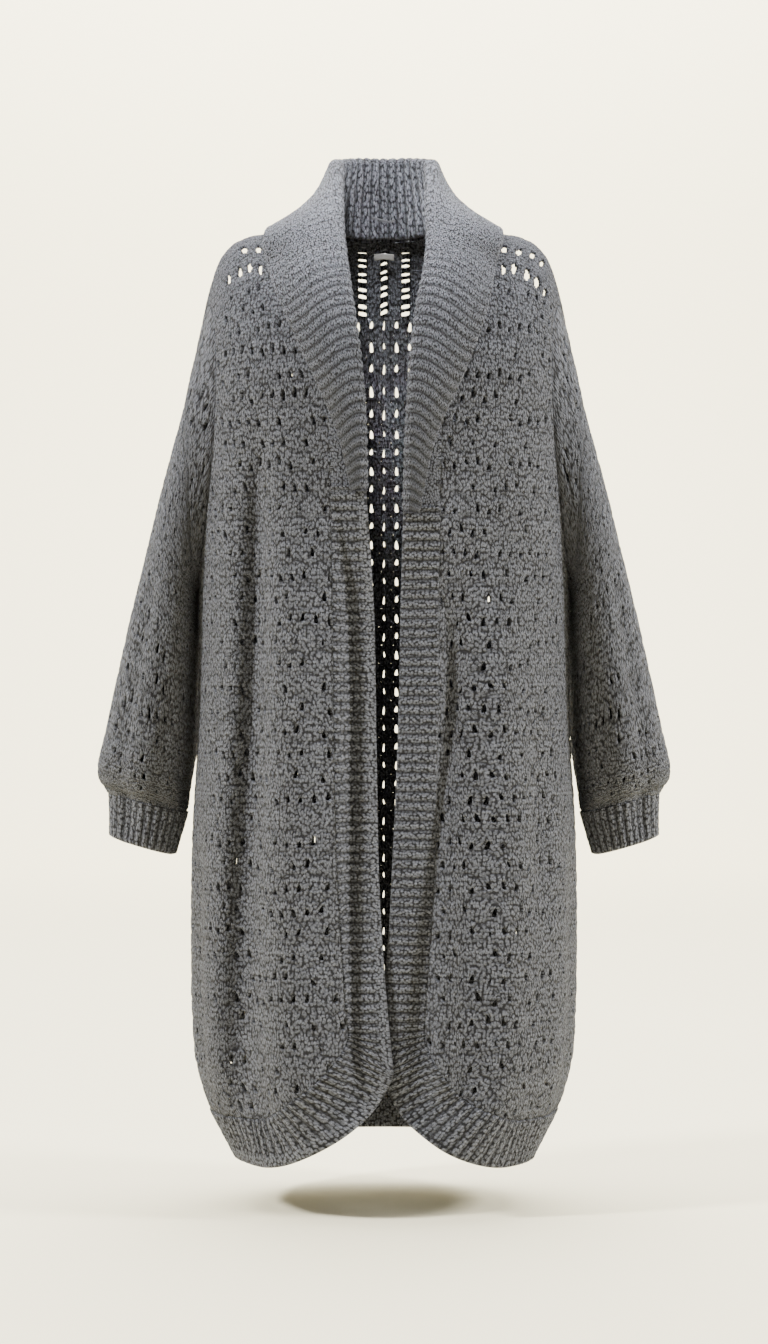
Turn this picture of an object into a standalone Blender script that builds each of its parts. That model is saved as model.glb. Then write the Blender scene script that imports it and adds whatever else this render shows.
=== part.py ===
"""Long crochet cardigan with dropped shoulders, a turned shawl collar and ribbed edges, filled out as worn.

Metres, +Z up, the front faces -Y. The origin is at the base of the neck, where the wearer's shoulders hold it up.
Left and right are the viewer's. Each cloth piece is a flat pattern of cells, laid on the garment's form and given
its wall: the patterns are in metres across the cloth and down it from the shoulder line.
"""

import math

import bmesh
import bpy
import numpy as np

WALL = 0.004
RIB_WALL = 0.0045
RIB_RISE = 0.002
RIB_PITCH = 0.0124
SEAM = 0.0004
RIB_SEAM = 0.00056
SLEEVE_SEAM = 0.00064
COLLAR_SEAM = 0.0006
LABEL_GAP = 0.00048
LOOP_GAP = 0.0012
SHOULDER_SEAM_RUN = 0.0014
LEFT = -1
RIGHT = 1

FRONT_FULLNESS = 2.4
CHEST_Z = -0.200
FRONT_TOP = 0.013
SHOULDER_RUN = 0.290
UNDERARM_RUN = SHOULDER_RUN + 0.200
HEM_RUN = SHOULDER_RUN + 0.837
HEM_LIFT = 0.005
HEM_HEIGHT = 0.052
NECK_HALF_WIDTH = 0.078
NECK_RUN = 0.092
ARMHOLE_TOP = 0.22
ARMHOLE_BITE = 0.55

# Height, half width, depth of the front and depth of the back, down the body.
BODY = (
    (-0.120, 0.2090, 0.148, 0.145),
    (-0.200, 0.2075, 0.156, 0.150),
    (-0.400, 0.2080, 0.160, 0.152),
    (-0.560, 0.2090, 0.162, 0.155),
    (-0.680, 0.2155, 0.165, 0.160),
    (-0.800, 0.2170, 0.168, 0.165),
    (-0.880, 0.2155, 0.170, 0.168),
    (-0.930, 0.2115, 0.170, 0.167),
    (-0.972, 0.2000, 0.168, 0.163),
    (-1.005, 0.1850, 0.164, 0.158),
    (-1.040, 0.1660, 0.158, 0.151),
)

# Distance from the middle and height of the shoulder line, from the neck out to the top of the arm.
SHOULDER_LINE = (
    (0.0, 0.032),
    (0.040, 0.025),
    (0.078, 0.013),
    (0.127, 0.001),
    (0.155, -0.004),
    (0.173, -0.014),
    (0.1845, -0.029),
    (0.1920, -0.048),
    (0.2000, -0.078),
    (0.2055, -0.104),
    (0.2100, -0.124),
)

# Side, angle from the front middle in degrees, width in degrees, depth, top and bottom height of each large fold.
FOLDS = (
    ("left front valley", -41, 6.0, -0.011, -0.20, -1.02),
    ("left front ridge", -25, 9.0, 0.009, -0.30, -1.03),
    ("left opening turn", -1, 11.0, -0.020, -0.28, -1.06),
    ("right opening turn", 4, 11.0, -0.018, -0.30, -1.06),
    ("right front valley", 25, 5.5, -0.013, -0.32, -1.00),
    ("right front ridge", 36, 8.0, 0.007, -0.36, -1.03),
    ("right shallow valley", 50, 5.0, -0.006, -0.50, -0.78),
    ("right side fold", 72, 7.0, -0.006, -0.62, -1.00),
    ("left side fold", -70, 7.0, -0.007, -0.60, -0.98),
    ("back left valley", -128, 6.0, -0.009, -0.42, -1.01),
    ("back left ridge", -146, 9.0, 0.006, -0.30, -1.02),
    ("back middle valley", 176, 7.0, -0.006, -0.45, -0.96),
    ("back right ridge", 150, 9.0, 0.007, -0.34, -1.02),
    ("back right valley", 127, 6.5, -0.010, -0.38, -1.02),
)

# Height, where the free edge of the band lies across the middle, and where its seam lies.
LEFT_EDGE = (
    (-0.300, -0.0215, -0.0580),
    (-0.416, -0.0151, -0.0560),
    (-0.590, -0.0114, -0.0545),
    (-0.742, -0.0071, -0.0510),
    (-0.873, 0.0038, -0.0430),
    (-0.950, 0.0130, -0.0360),
)
RIGHT_EDGE = (
    (-0.325, 0.0235, 0.0610),
    (-0.500, 0.0225, 0.0615),
    (-0.590, 0.0193, 0.0605),
    (-0.742, 0.0110, 0.0565),
    (-0.873, 0.0030, 0.0490),
    (-0.950, 0.0010, 0.0460),
)
UPPER_SEAM = 0.066
EDGE_TABLES = {LEFT: LEFT_EDGE, RIGHT: RIGHT_EDGE}
BREAK_RUN = {LEFT: SHOULDER_RUN + 0.102, RIGHT: SHOULDER_RUN + 0.125}
# Rounded lower corners: where the edge and the seam leave the straight, and where they meet the hem.
CORNER_START = -0.930
SEAM_CORNER_START = -0.890
CORNER_END = {LEFT: -0.134, RIGHT: 0.1365}
SEAM_CORNER_END = {LEFT: -0.148, RIGHT: 0.150}
CORNER_FULLNESS = {LEFT: 1.45, RIGHT: 1.65}
LAP = 0.0058

# Outer and inner point of each sleeve ring as distance from the middle and height, with its half depth and centre.
SLEEVE_RINGS = (
    (0.2060, -0.095, 0.2085, -0.3995, 0.076, 0.000),
    (0.2150, -0.148, 0.2125, -0.4010, 0.079, 0.003),
    (0.2265, -0.200, 0.2140, -0.4060, 0.081, 0.006),
    (0.2405, -0.250, 0.2145, -0.4150, 0.083, 0.009),
    (0.2550, -0.305, 0.2150, -0.4300, 0.084, 0.012),
    (0.2690, -0.362, 0.2152, -0.4530, 0.084, 0.014),
    (0.2840, -0.422, 0.2154, -0.4870, 0.083, 0.016),
    (0.2985, -0.485, 0.2158, -0.5330, 0.081, 0.017),
    (0.3115, -0.545, 0.2180, -0.5820, 0.079, 0.017),
    (0.3200, -0.590, 0.2215, -0.6180, 0.074, 0.016),
    (0.3180, -0.614, 0.2225, -0.6400, 0.063, 0.014),
    (0.3105, -0.6293, 0.2240, -0.6520, 0.050, 0.012),
    (0.3090, -0.6780, 0.2375, -0.6985, 0.043, 0.010),
)
CUFF_RING = len(SLEEVE_RINGS) - 2
SLEEVE_FULLNESS = 2.2
# Angle round the sleeve from its outer side in degrees, width, depth and the rings between which each fold runs.
SLEEVE_FOLDS = (
    ("front fold", 62, 13, -0.007, 4.0, 12.5),
    ("inner front fold", 112, 12, -0.004, 6.0, 11.5),
    ("back fold", -70, 14, -0.007, 3.5, 12.0),
    ("back elbow fold", -115, 12, -0.005, 5.0, 10.5),
)

# Turned collar behind the neck: how far round the neckline, its fold, its free edge and its bulge, from the nape.
NAPE = (
    (0.00, 0.0000, 0.0850, 0.0920, 0.0000, 0.1370, -0.0020, 0.001),
    (0.33, 0.0300, 0.0770, 0.0910, 0.0600, 0.1240, -0.0010, 0.000),
    (0.66, 0.0500, 0.0480, 0.0840, 0.1030, 0.0800, 0.0010, -0.005),
    (1.00, 0.0510, 0.0060, 0.0720, 0.1230, 0.0170, 0.0070, -0.009),
    (1.20, 0.0510, -0.0330, 0.0430, 0.1280, -0.0390, -0.0020, -0.002),
)
# Turned collar in front: height, fold and free edge, down to the break.
LEFT_LAPEL = (
    (-0.045, -0.0485, -0.1240),
    (-0.100, -0.0405, -0.1050),
    (-0.165, -0.0315, -0.0765),
    (-0.235, -0.0265, -0.0470),
    (-0.298, -0.0255, -0.0320),
)
RIGHT_LAPEL = (
    (-0.045, 0.0530, 0.1190),
    (-0.100, 0.0430, 0.1080),
    (-0.165, 0.0350, 0.0850),
    (-0.235, 0.0305, 0.0540),
    (-0.321, 0.0285, 0.0350),
)
LAPELS = {LEFT: LEFT_LAPEL, RIGHT: RIGHT_LAPEL}
ROLL = 0.006
LAPEL_LIFT = 0.0035
LAPEL_BULGE = 0.009

EYELET_BAR = 0.0045
SLEEVE_BAR = 0.0028
NET_BAR = 0.006

LABEL = (0.024, 0.009, 0.0012)
LABEL_DROP = 0.0165
LOOP_SPAN = 0.024
LOOP_SAG = 0.006
LOOP_RADIUS = 0.0013
LOOP_BOW = 0.0036

GREY = (0.115, 0.118, 0.132)
DARK_GREY = (0.085, 0.087, 0.098)
LABEL_GREY = (0.32, 0.32, 0.33)


def smooth(keys, rows, at):
    """Read a short table at any place: a cubic through its rows, level outside them."""
    keys = np.asarray(keys, float)
    rows = np.asarray(rows, float)
    slopes = np.gradient(rows, keys, axis=0)
    at = np.clip(np.asarray(at, float), keys[0], keys[-1])
    left = np.clip(np.searchsorted(keys, at, side="right") - 1, 0, len(keys) - 2)
    span = keys[left + 1] - keys[left]
    t = (at - keys[left]) / span
    if rows.ndim > 1:
        t = t.reshape(t.shape + (1,) * (rows.ndim - 1))
        span = span.reshape(t.shape)
    return (
        rows[left] * (1 + 2 * t) * (1 - t) ** 2
        + slopes[left] * span * t * (1 - t) ** 2
        + rows[left + 1] * t**2 * (3 - 2 * t)
        + slopes[left + 1] * span * t**2 * (t - 1)
    )


def ease(low, high, at):
    t = np.clip((at - low) / (high - low), 0, 1)
    return t * t * (3 - 2 * t)


def unit(vectors):
    return vectors / np.maximum(np.linalg.norm(vectors, axis=-1, keepdims=True), 1e-9)


def body_size(z):
    table = np.array(BODY)[::-1]
    return np.moveaxis(smooth(table[:, 0], table[:, 1:], z), -1, 0)


def folds(angle, z):
    """How far the cloth stands out or in at its large folds."""
    total = np.zeros(np.broadcast(angle, z).shape)
    for _, middle, width, depth, top, bottom in FOLDS:
        away = (np.degrees(angle) - middle + 180) % 360 - 180
        start = ease(top, top - 0.16, z)
        end = 1 - ease(bottom + 0.07, bottom - 0.03, z)
        total = total + depth * np.exp(-((away / width) ** 2)) * start * end
    return total


def body(angle, run, side=0):
    """A point on the cloth of the body: the angle round it from the front middle, and the run down from the shoulder."""
    angle, run = np.broadcast_arrays(np.asarray(angle, float), np.asarray(run, float))
    turn = np.clip(run / SHOULDER_RUN, 0, 1) * math.pi / 2
    low = CHEST_Z - np.maximum(run - SHOULDER_RUN, 0)
    half, front, back = body_size(low)
    depth = (front + back) / 2 + (front - back) / 2 * np.cos(angle)
    full = (np.abs(np.sin(angle)) ** FRONT_FULLNESS + np.abs(np.cos(angle)) ** FRONT_FULLNESS) ** (
        -1 / FRONT_FULLNESS
    )
    x = half * np.sin(angle) * full
    y = -depth * np.cos(angle) * full * np.sin(turn) ** 1.15
    line = np.array(SHOULDER_LINE)
    top = smooth(line[:, 0], line[:, 1], np.abs(x))
    z = np.where(run < SHOULDER_RUN, top + (CHEST_Z - top) * (1 - np.cos(turn)), low)
    reach = np.hypot(x, y)
    scale = 1 + folds(angle, z) / np.maximum(reach, 0.05)
    # The left front laps over the right one towards the hem.
    lap = side * LAP * ease(-0.74, -0.88, z) * np.exp(-((x / 0.055) ** 2))
    return np.stack([x * scale, y * scale + np.where(np.cos(angle) > 0, lap, 0), z], axis=-1)


def body_normal(angle, run, side=0):
    """The outward direction of the body's cloth."""
    step = 0.004
    run = np.maximum(run, step)
    across = body(angle + step * 5, run, side) - body(angle - step * 5, run, side)
    down = body(angle, run + step, side) - body(angle, run - step, side)
    normal = np.cross(down, across)
    # Front and back read one direction along the shoulder line, where their walls meet.
    level = ease(0.0, 0.03, run - step)
    return unit(normal * np.stack([np.ones_like(level), level, np.ones_like(level)], axis=-1))


def front_angle(x, z):
    """The angle round the body of a point on its front, from its distance across."""
    half = body_size(np.asarray(z, float))[0]
    share = np.clip(np.abs(x) / half, 0, 1)
    return np.sign(x) * np.arctan2(share, (1 - share**FRONT_FULLNESS) ** (1 / FRONT_FULLNESS))


def run_of(z):
    return SHOULDER_RUN + CHEST_Z - z


def height_of(run):
    """The level of a run at the front middle, near enough for reading the edge tables."""
    over = FRONT_TOP + (CHEST_Z - FRONT_TOP) * (1 - np.cos(run / SHOULDER_RUN * math.pi / 2))
    return np.where(run < SHOULDER_RUN, over, CHEST_Z - (run - SHOULDER_RUN))


def armhole_angle(run):
    """Where the armhole cuts the side of the body, from the top of the arm to the underarm and level below it."""
    share = np.clip(run / UNDERARM_RUN, 0, 1)
    rising = ARMHOLE_TOP + (ARMHOLE_BITE - ARMHOLE_TOP) * np.sin(math.pi * np.minimum(share, 0.5))
    closing = ARMHOLE_BITE * np.sqrt(np.clip(1 - (np.maximum(share - 0.5, 0) / 0.5) ** 2, 0, 1))
    return math.pi / 2 - np.where(share < 0.5, rising, closing)


HEM_SEAM_RUN = HEM_RUN - HEM_HEIGHT


def corner(side, turn, seam):
    """The rounded lower corner as distance across and height, from its start, turn 0, to the hem, turn 1."""
    power = 2 / CORNER_FULLNESS[side]
    start_z = SEAM_CORNER_START if seam else CORNER_START
    end_z = CHEST_Z - (HEM_SEAM_RUN - SHOULDER_RUN) if seam else CHEST_Z - (HEM_RUN - SHOULDER_RUN)
    end_x = SEAM_CORNER_END[side] if seam else CORNER_END[side]
    start_x = edge_x(side, start_z, seam)
    angle = np.asarray(turn) * math.pi / 2
    x = start_x + (end_x - start_x) * (1 - np.cos(angle) ** power)
    z = start_z + (end_z - start_z) * np.sin(angle) ** power
    return x, z


def edge_x(side, z, seam):
    """Distance across of the front's seam or of the band's free edge, above the corner."""
    table = np.array(EDGE_TABLES[side])[::-1]
    x = smooth(table[:, 0], table[:, 2 if seam else 1], z)
    upper = side * UPPER_SEAM
    neck = side * NECK_HALF_WIDTH
    if seam:
        x = np.where(z > table[-1, 0], x + (upper - x) * ease(table[-1, 0], -0.10, z), x)
        x = np.where(z > -0.10, upper + (neck - upper) * ease(-0.10, 0.01, z), x)
    return x


# Runs of the fronts' rows: over the shoulder, past the armhole, down the body and round the corner.
SHOULDER_ROWS = np.linspace(0, 1, 7) ** 0.9 * 0.245
ARMHOLE_ROWS = np.array([0.290, 0.340, 0.390, 0.430, 0.462, 0.482, UNDERARM_RUN])
BODY_ROWS = np.linspace(UNDERARM_RUN, run_of(SEAM_CORNER_START), 12)[1:]
CORNER_ROWS = np.array([0.16, 0.32, 0.48, 0.64, 0.80, 1.0])


def front_rows(side):
    corner_runs = run_of(corner(side, CORNER_ROWS, True)[1])
    return np.concatenate([SHOULDER_ROWS, ARMHOLE_ROWS, BODY_ROWS, corner_runs])


def front_seam(side, runs):
    """Angles of the front's inner boundary at its rows, straight between them."""
    rows = front_rows(side)
    straight = edge_x(side, height_of(rows[: -len(CORNER_ROWS)]), True)
    x = np.concatenate([straight, corner(side, CORNER_ROWS, True)[0]])
    z = height_of(rows)
    return np.interp(runs, rows, front_angle(x, z))


def front_point(side, u, run):
    """From u 0 at the band's seam to u 1 at the armhole or side seam."""
    inner = front_seam(side, run)
    outer = side * (armhole_angle(run) - SEAM)
    return inner + (outer - inner) * u, np.maximum(run, SHOULDER_SEAM_RUN)


def back_start(u):
    """How far down from the shoulder line the back panel starts: the hollow of the back neck."""
    angle = (math.pi / 2 - ARMHOLE_TOP) * np.abs(u)
    full = (np.sin(angle) ** FRONT_FULLNESS + np.cos(angle) ** FRONT_FULLNESS) ** (-1 / FRONT_FULLNESS)
    x = body_size(CHEST_Z + 0.08)[0] * np.sin(angle) * full
    inside = np.clip(1 - (x / NECK_HALF_WIDTH) ** 2.2, 0, 1)
    return NECK_RUN * inside**0.5


def back_point(u, run):
    """From u -1 at the viewer's left side to u 1 at the right."""
    start = back_start(u) * (1 - ease(0.0, 0.25, run))
    angle = math.pi - u * (armhole_angle(run) - SEAM)
    return angle, np.maximum(run + start, SHOULDER_SEAM_RUN)


def make_material(name, colour, roughness):
    material = bpy.data.materials.new(name)
    material.use_nodes = True
    principled = material.node_tree.nodes["Principled BSDF"]
    principled.inputs["Base Color"].default_value = (*colour, 1)
    principled.inputs["Roughness"].default_value = roughness
    return material


def flat_pattern(columns, rows):
    """A flat mesh of cells, whose corners lie at the given places across and down."""
    flat = bmesh.new()
    bmesh.ops.create_grid(flat, x_segments=len(columns) - 1, y_segments=len(rows) - 1, size=0.5)
    for vert in flat.verts:
        i = round((vert.co.x + 0.5) * (len(columns) - 1))
        j = round((vert.co.y + 0.5) * (len(rows) - 1))
        vert.co = (columns[i], rows[j], 0)
    return flat


def pierce(flat, inside, across, down, bar):
    """Cut eyelets through the cells whose middle passes the test: each cell is split across and down, and the
    middle of every part is cut away to leave bars around it."""
    parts = []
    for cell in [face for face in flat.faces if inside(face.calc_center_median())]:
        places = [loop.vert.co.copy() for loop in cell.loops]
        pieces = [cell]
        for axis, count in ((0, across), (1, down)):
            low = min(place[axis] for place in places)
            high = max(place[axis] for place in places)
            for step in range(1, count):
                spot = [0, 0, 0]
                spot[axis] = low + (high - low) * step / count
                normal = [0, 0, 0]
                normal[axis] = 1
                geometry = set(pieces)
                for face in pieces:
                    geometry.update(face.edges)
                    geometry.update(face.verts)
                cut = bmesh.ops.bisect_plane(flat, geom=list(geometry), plane_co=spot, plane_no=normal, dist=1e-7)
                pieces = [item for item in cut["geom"] if isinstance(item, bmesh.types.BMFace)]
        parts += pieces
    if parts:
        bmesh.ops.inset_individual(flat, faces=parts, thickness=bar, use_even_offset=True)
        bmesh.ops.delete(flat, geom=parts, context="FACES")


def closed_round(flat):
    """Join the last column of a flat pattern to its first, so that it becomes a tube."""
    low = min(vert.co.x for vert in flat.verts)
    high = max(vert.co.x for vert in flat.verts)
    first = {round(vert.co.y, 6): vert for vert in flat.verts if vert.co.x < low + 1e-6}
    last = {vert: first[round(vert.co.y, 6)] for vert in flat.verts if vert.co.x > high - 1e-6}
    bmesh.ops.weld_verts(flat, targetmap=last)


def cloth(name, flat, laid, material, collection):
    """Lay a flat pattern on its form. laid gives each point's outer and inner place from across and down."""
    fronts = flat.verts[:]
    across = np.array([vert.co.x for vert in fronts])
    down = np.array([vert.co.y for vert in fronts])
    outer, inner = laid(across, down)
    rim = [edge for edge in flat.edges if edge.is_boundary]
    lined = bmesh.ops.duplicate(flat, geom=fronts + flat.edges[:] + flat.faces[:])
    twin = {vert: lined["vert_map"][vert] for vert in fronts}
    for vert, outside, inside in zip(fronts, outer, inner):
        vert.co = outside
        twin[vert].co = inside
    bmesh.ops.reverse_faces(flat, faces=[item for item in lined["geom"] if isinstance(item, bmesh.types.BMFace)])
    for edge in rim:
        first, second = edge.verts
        flat.faces.new((first, second, twin[second], twin[first]))
    bmesh.ops.recalc_face_normals(flat, faces=flat.faces[:])
    mesh = bpy.data.meshes.new(name)
    flat.to_mesh(mesh)
    flat.free()
    mesh.materials.append(material)
    mesh.shade_smooth()
    piece = bpy.data.objects.new(name, mesh)
    collection.objects.link(piece)
    return piece


def ribbed(outer, normal, rib):
    """Outer and inner points of a ribbed wall: the ribs are raised outside and the inside is plain."""
    return outer + normal * (RIB_RISE * rib)[:, None], outer - normal * RIB_WALL


def rib_columns(length):
    """Places of the ribs' crests and hollows along a length, with a whole number of ribs."""
    count = max(round(length / RIB_PITCH), 2)
    return np.linspace(0, 1, 2 * count + 1)


def rib_of(share, columns):
    """1 on a crest and 0 in a hollow, read from the place along the columns."""
    return np.round(share * (len(columns) - 1)) % 2


FRONT_WIDTH = 0.26
FRONT_COLUMNS = np.concatenate([[0.0], np.linspace(0.13, 0.87, 6), [1.0]])
BACK_WIDTH = 0.31


def front_panel(side, name, material, collection):
    flat = flat_pattern(FRONT_COLUMNS * FRONT_WIDTH, front_rows(side))

    def on_shoulder(middle):
        return SHOULDER_ROWS[1] < middle.y < SHOULDER_ROWS[3] and 0.27 < middle.x / FRONT_WIDTH < 0.60

    pierce(flat, on_shoulder, 2, 2, EYELET_BAR)

    def laid(across, down):
        angle, run = front_point(side, across / FRONT_WIDTH, down)
        points = body(angle, run, side)
        return points, points - body_normal(angle, run, side) * WALL

    return cloth(name, flat, laid, material, collection)


NECK_SHARE = 0.2744
SIDE_COLUMNS = np.array([NECK_SHARE, 0.42, 0.57, 0.72, 0.86, 1.0])
EYELET_COLUMNS = np.array([-0.080, -0.022, 0.036, 0.094])
BACK_COLUMNS = np.concatenate([-SIDE_COLUMNS[::-1], [-0.170], EYELET_COLUMNS, [0.180], SIDE_COLUMNS])
BACK_ROWS = np.concatenate(
    [SHOULDER_ROWS, ARMHOLE_ROWS, np.linspace(UNDERARM_RUN, HEM_SEAM_RUN - SEAM / 2, 14)[1:]]
)


def back_panel(material, collection):
    flat = flat_pattern(BACK_COLUMNS * BACK_WIDTH, BACK_ROWS)
    low, high = EYELET_COLUMNS[0] * BACK_WIDTH, EYELET_COLUMNS[-1] * BACK_WIDTH
    short = ARMHOLE_ROWS[-3], UNDERARM_RUN

    def on_shoulder(middle):
        return SHOULDER_ROWS[1] < middle.y < SHOULDER_ROWS[2] and 0.42 < abs(middle.x) / BACK_WIDTH < 0.72

    def seen_through_opening(middle):
        if short[0] < middle.y < short[1]:
            return False
        return SHOULDER_ROWS[2] < middle.y < HEM_SEAM_RUN - 0.16 and low < middle.x < high

    pierce(flat, on_shoulder, 2, 2, EYELET_BAR)
    pierce(flat, seen_through_opening, 1, 2, NET_BAR)

    def laid(across, down):
        angle, run = back_point(across / BACK_WIDTH, down)
        points = body(angle, run)
        return points, points - body_normal(angle, run) * WALL

    return cloth("back", flat, laid, material, collection)


def through(rings, at):
    """Read each point's own column of rings at its own place between them."""
    slopes = np.gradient(rings, axis=0)
    at = np.clip(at, 0, len(rings) - 1)
    low = np.minimum(at.astype(int), len(rings) - 2)
    t = (at - low)[:, None]
    point = np.arange(len(at))
    return (
        rings[low, point] * (1 + 2 * t) * (1 - t) ** 2
        + slopes[low, point] * t * (1 - t) ** 2
        + rings[low + 1, point] * t**2 * (3 - 2 * t)
        + slopes[low + 1, point] * t**2 * (t - 1)
    )


ARMHOLE_RUNS = np.concatenate([SHOULDER_ROWS, ARMHOLE_ROWS])
HALVES = {"front": -1, "back": 1}


def armhole_point(side, half, run):
    """The edge of the armhole, in front or behind."""
    angle = armhole_angle(run)
    if HALVES[half] > 0:
        angle = math.pi - angle
    return body(side * angle, run)


def armhole_shares():
    """How far round the half armhole each row of the body comes, from 0 at the shoulder to 1 at the underarm."""
    points = armhole_point(RIGHT, "front", ARMHOLE_RUNS)
    lengths = np.concatenate([[0], np.cumsum(np.linalg.norm(np.diff(points, axis=0), axis=1))])
    return lengths / lengths[-1]


SHARES = armhole_shares()


def sleeve_fold(degrees, ring):
    total = np.zeros(len(degrees))
    for _, middle, width, depth, start, end in SLEEVE_FOLDS:
        away = degrees - middle
        total += depth * np.exp(-((away / width) ** 2)) * ease(start, start + 2, ring) * (1 - ease(end - 1, end, ring))
    return total


def sleeve(side, half, share, ring):
    """A point on the sleeve's cloth: how far round its half from the outer side to the inner, and the ring."""
    run = np.interp(share, SHARES, ARMHOLE_RUNS)
    edge = armhole_point(side, half, run)
    table = np.array(SLEEVE_RINGS)
    middle = np.array([side * (table[0, 0] + table[0, 2]) / 2, 0, (table[0, 1] + table[0, 3]) / 2])
    rings = [edge + unit(middle - edge) * SLEEVE_SEAM]
    angle = math.pi * share
    full = (np.abs(np.cos(angle)) ** SLEEVE_FULLNESS + np.abs(np.sin(angle)) ** SLEEVE_FULLNESS) ** (
        -1 / SLEEVE_FULLNESS
    )
    for number, (out_x, out_z, in_x, in_z, depth, centre_y) in enumerate(table[1:], 1):
        centre = np.array([side * (out_x + in_x) / 2, centre_y, (out_z + in_z) / 2])
        outward = np.array([side * (out_x - in_x) / 2, 0, (out_z - in_z) / 2])
        backward = np.array([0, HALVES[half] * depth, 0])
        points = centre + (np.cos(angle) * full)[:, None] * outward + (np.sin(angle) * full)[:, None] * backward
        # The inner side lies along the body, which narrows towards its front and back.
        wide, front, back = body_size(points[:, 2])
        body_depth = np.where(points[:, 1] < 0, front, back)
        share_y = np.clip(np.abs(points[:, 1]) / body_depth, 0, 0.95)
        narrower = wide * (1 - (1 - share_y**FRONT_FULLNESS) ** (1 / FRONT_FULLNESS))
        hug = narrower * ease(0.45, 0.85, share) * (1 - ease(8.5, 11.5, number))
        points = points - unit(outward) * hug[:, None]
        rings.append(points)
    points = through(np.array(rings), ring)
    out_x, out_z, in_x, in_z, _, centre_y = [np.interp(ring, range(len(table)), column) for column in table.T]
    centre = np.stack([side * (out_x + in_x) / 2, centre_y, (out_z + in_z) / 2], axis=-1)
    degrees = np.degrees(angle) * -HALVES[half]
    return points + unit(points - centre) * sleeve_fold(degrees, ring)[:, None]


def sleeve_normal(side, half, share, ring):
    """The outward direction of the sleeve's cloth, which turns with the body's cloth at the armhole."""
    step = 0.03
    around_low = np.maximum(share - step, 0)
    around_high = np.minimum(share + step, 1)
    around = sleeve(side, half, around_high, ring) - sleeve(side, half, around_low, ring)
    low = np.maximum(ring, 0.05)
    along = sleeve(side, half, share, low + 0.05) - sleeve(side, half, share, low - 0.05)
    # At the outer and inner side the halves meet, so both read one direction there.
    around[:, [0, 2]] *= np.clip(np.minimum(share, 1 - share) / 0.04, 0, 1)[:, None]
    normal = unit(np.cross(along, around)) * side * -HALVES[half] * -1
    run = np.interp(share, SHARES, ARMHOLE_RUNS)
    body_angle = armhole_angle(run)
    if HALVES[half] > 0:
        body_angle = math.pi - body_angle
    table = SLEEVE_RINGS[0]
    middle = np.array([side * (table[0] + table[2]) / 2, 0, (table[1] + table[3]) / 2])
    away = unit(armhole_point(side, half, run) - middle)
    turned = ease(0.55, 1.0, share)[:, None]
    start = unit(body_normal(side * body_angle, run) * (1 - turned) + away * turned)
    mix = np.clip(1 - ring / 0.7, 0, 1)[:, None]
    return unit(normal * (1 - mix) + start * mix)


RING_LENGTH = 0.052
HALF_ROUND = 0.25
CUFF_LENGTH = 0.275


def sleeve_half(side, half, name, material, collection):
    last = CUFF_RING - 0.02
    rings = np.array([0, 0.6, 1.6, 3.0, 4.25, 5.25, 6.3, 7.4, 8.5, 9.2, 10.1, last])
    flat = flat_pattern(SHARES * HALF_ROUND, rings * RING_LENGTH)
    if half == "front":

        def above_elbow(middle):
            return 4.25 < middle.y / RING_LENGTH < 5.25 and middle.x < SHARES[1] * HALF_ROUND

        def above_cuff(middle):
            return 8.5 < middle.y / RING_LENGTH < 9.2 and middle.x < SHARES[1] * HALF_ROUND

        pierce(flat, above_elbow, 1, 3, SLEEVE_BAR)
        pierce(flat, above_cuff, 1, 2, SLEEVE_BAR)

    def laid(across, down):
        share = np.clip(across / HALF_ROUND, 0, 1)
        ring = down / RING_LENGTH
        points = sleeve(side, half, share, ring)
        normal = sleeve_normal(side, half, share, ring)
        # A seam's gap parts the halves along the outer and the inner side.
        parted = HALVES[half] * SEAM / 2 * (np.exp(-share / 0.01) + np.exp(-(1 - share) / 0.01))
        points = points + np.stack([0 * parted, parted, 0 * parted], axis=-1)
        return points, points - normal * WALL

    return cloth(name, flat, laid, material, collection)


def round_sleeve(side, around, ring):
    """The same sleeve read all the way round: 0 at the outer side, 1 at the inner side and 2 back at the outer."""
    around = around % 2
    front = sleeve(side, "front", np.minimum(around, 1), ring)
    back = sleeve(side, "back", np.minimum(2 - around, 1), ring)
    return np.where((around <= 1)[:, None], front, back)


def cuff(side, name, material, collection):
    columns = rib_columns(CUFF_LENGTH) * 2
    flat = flat_pattern(columns, [CUFF_RING + 0.008, CUFF_RING + 1])
    closed_round(flat)

    def laid(across, ring):
        points = round_sleeve(side, across, ring)
        around = round_sleeve(side, across + 0.05, ring) - round_sleeve(side, across - 0.05, ring)
        low = np.minimum(ring, CUFF_RING + 0.95)
        along = round_sleeve(side, across, low + 0.05) - round_sleeve(side, across, low - 0.05)
        normal = -unit(np.cross(along, around)) * side
        return ribbed(points, normal, rib_of(across / 2, columns))

    return cloth(name, flat, laid, material, collection)


def band_edge(side, share):
    """The free edge of a front band as angle and run, from the break round the corner to the side seam."""
    top = BREAK_RUN[side] + SEAM
    straight, bend = BAND_SHARES
    down = np.clip(share / straight, 0, 1)
    turn = np.clip((share - straight) / (bend - straight), 0, 1)
    along = np.clip((share - bend) / (1 - bend), 0, 1)
    x, z = corner(side, turn, False)
    run = np.where(share < straight, top + (run_of(CORNER_START) - top) * down, run_of(z))
    z = height_of(run)
    angle = front_angle(np.where(share < straight, edge_x(side, z, False), x), z)
    side_seam = side * (math.pi / 2 - SEAM)
    return np.where(share > bend, angle + (side_seam - angle) * along, angle), run


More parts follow.
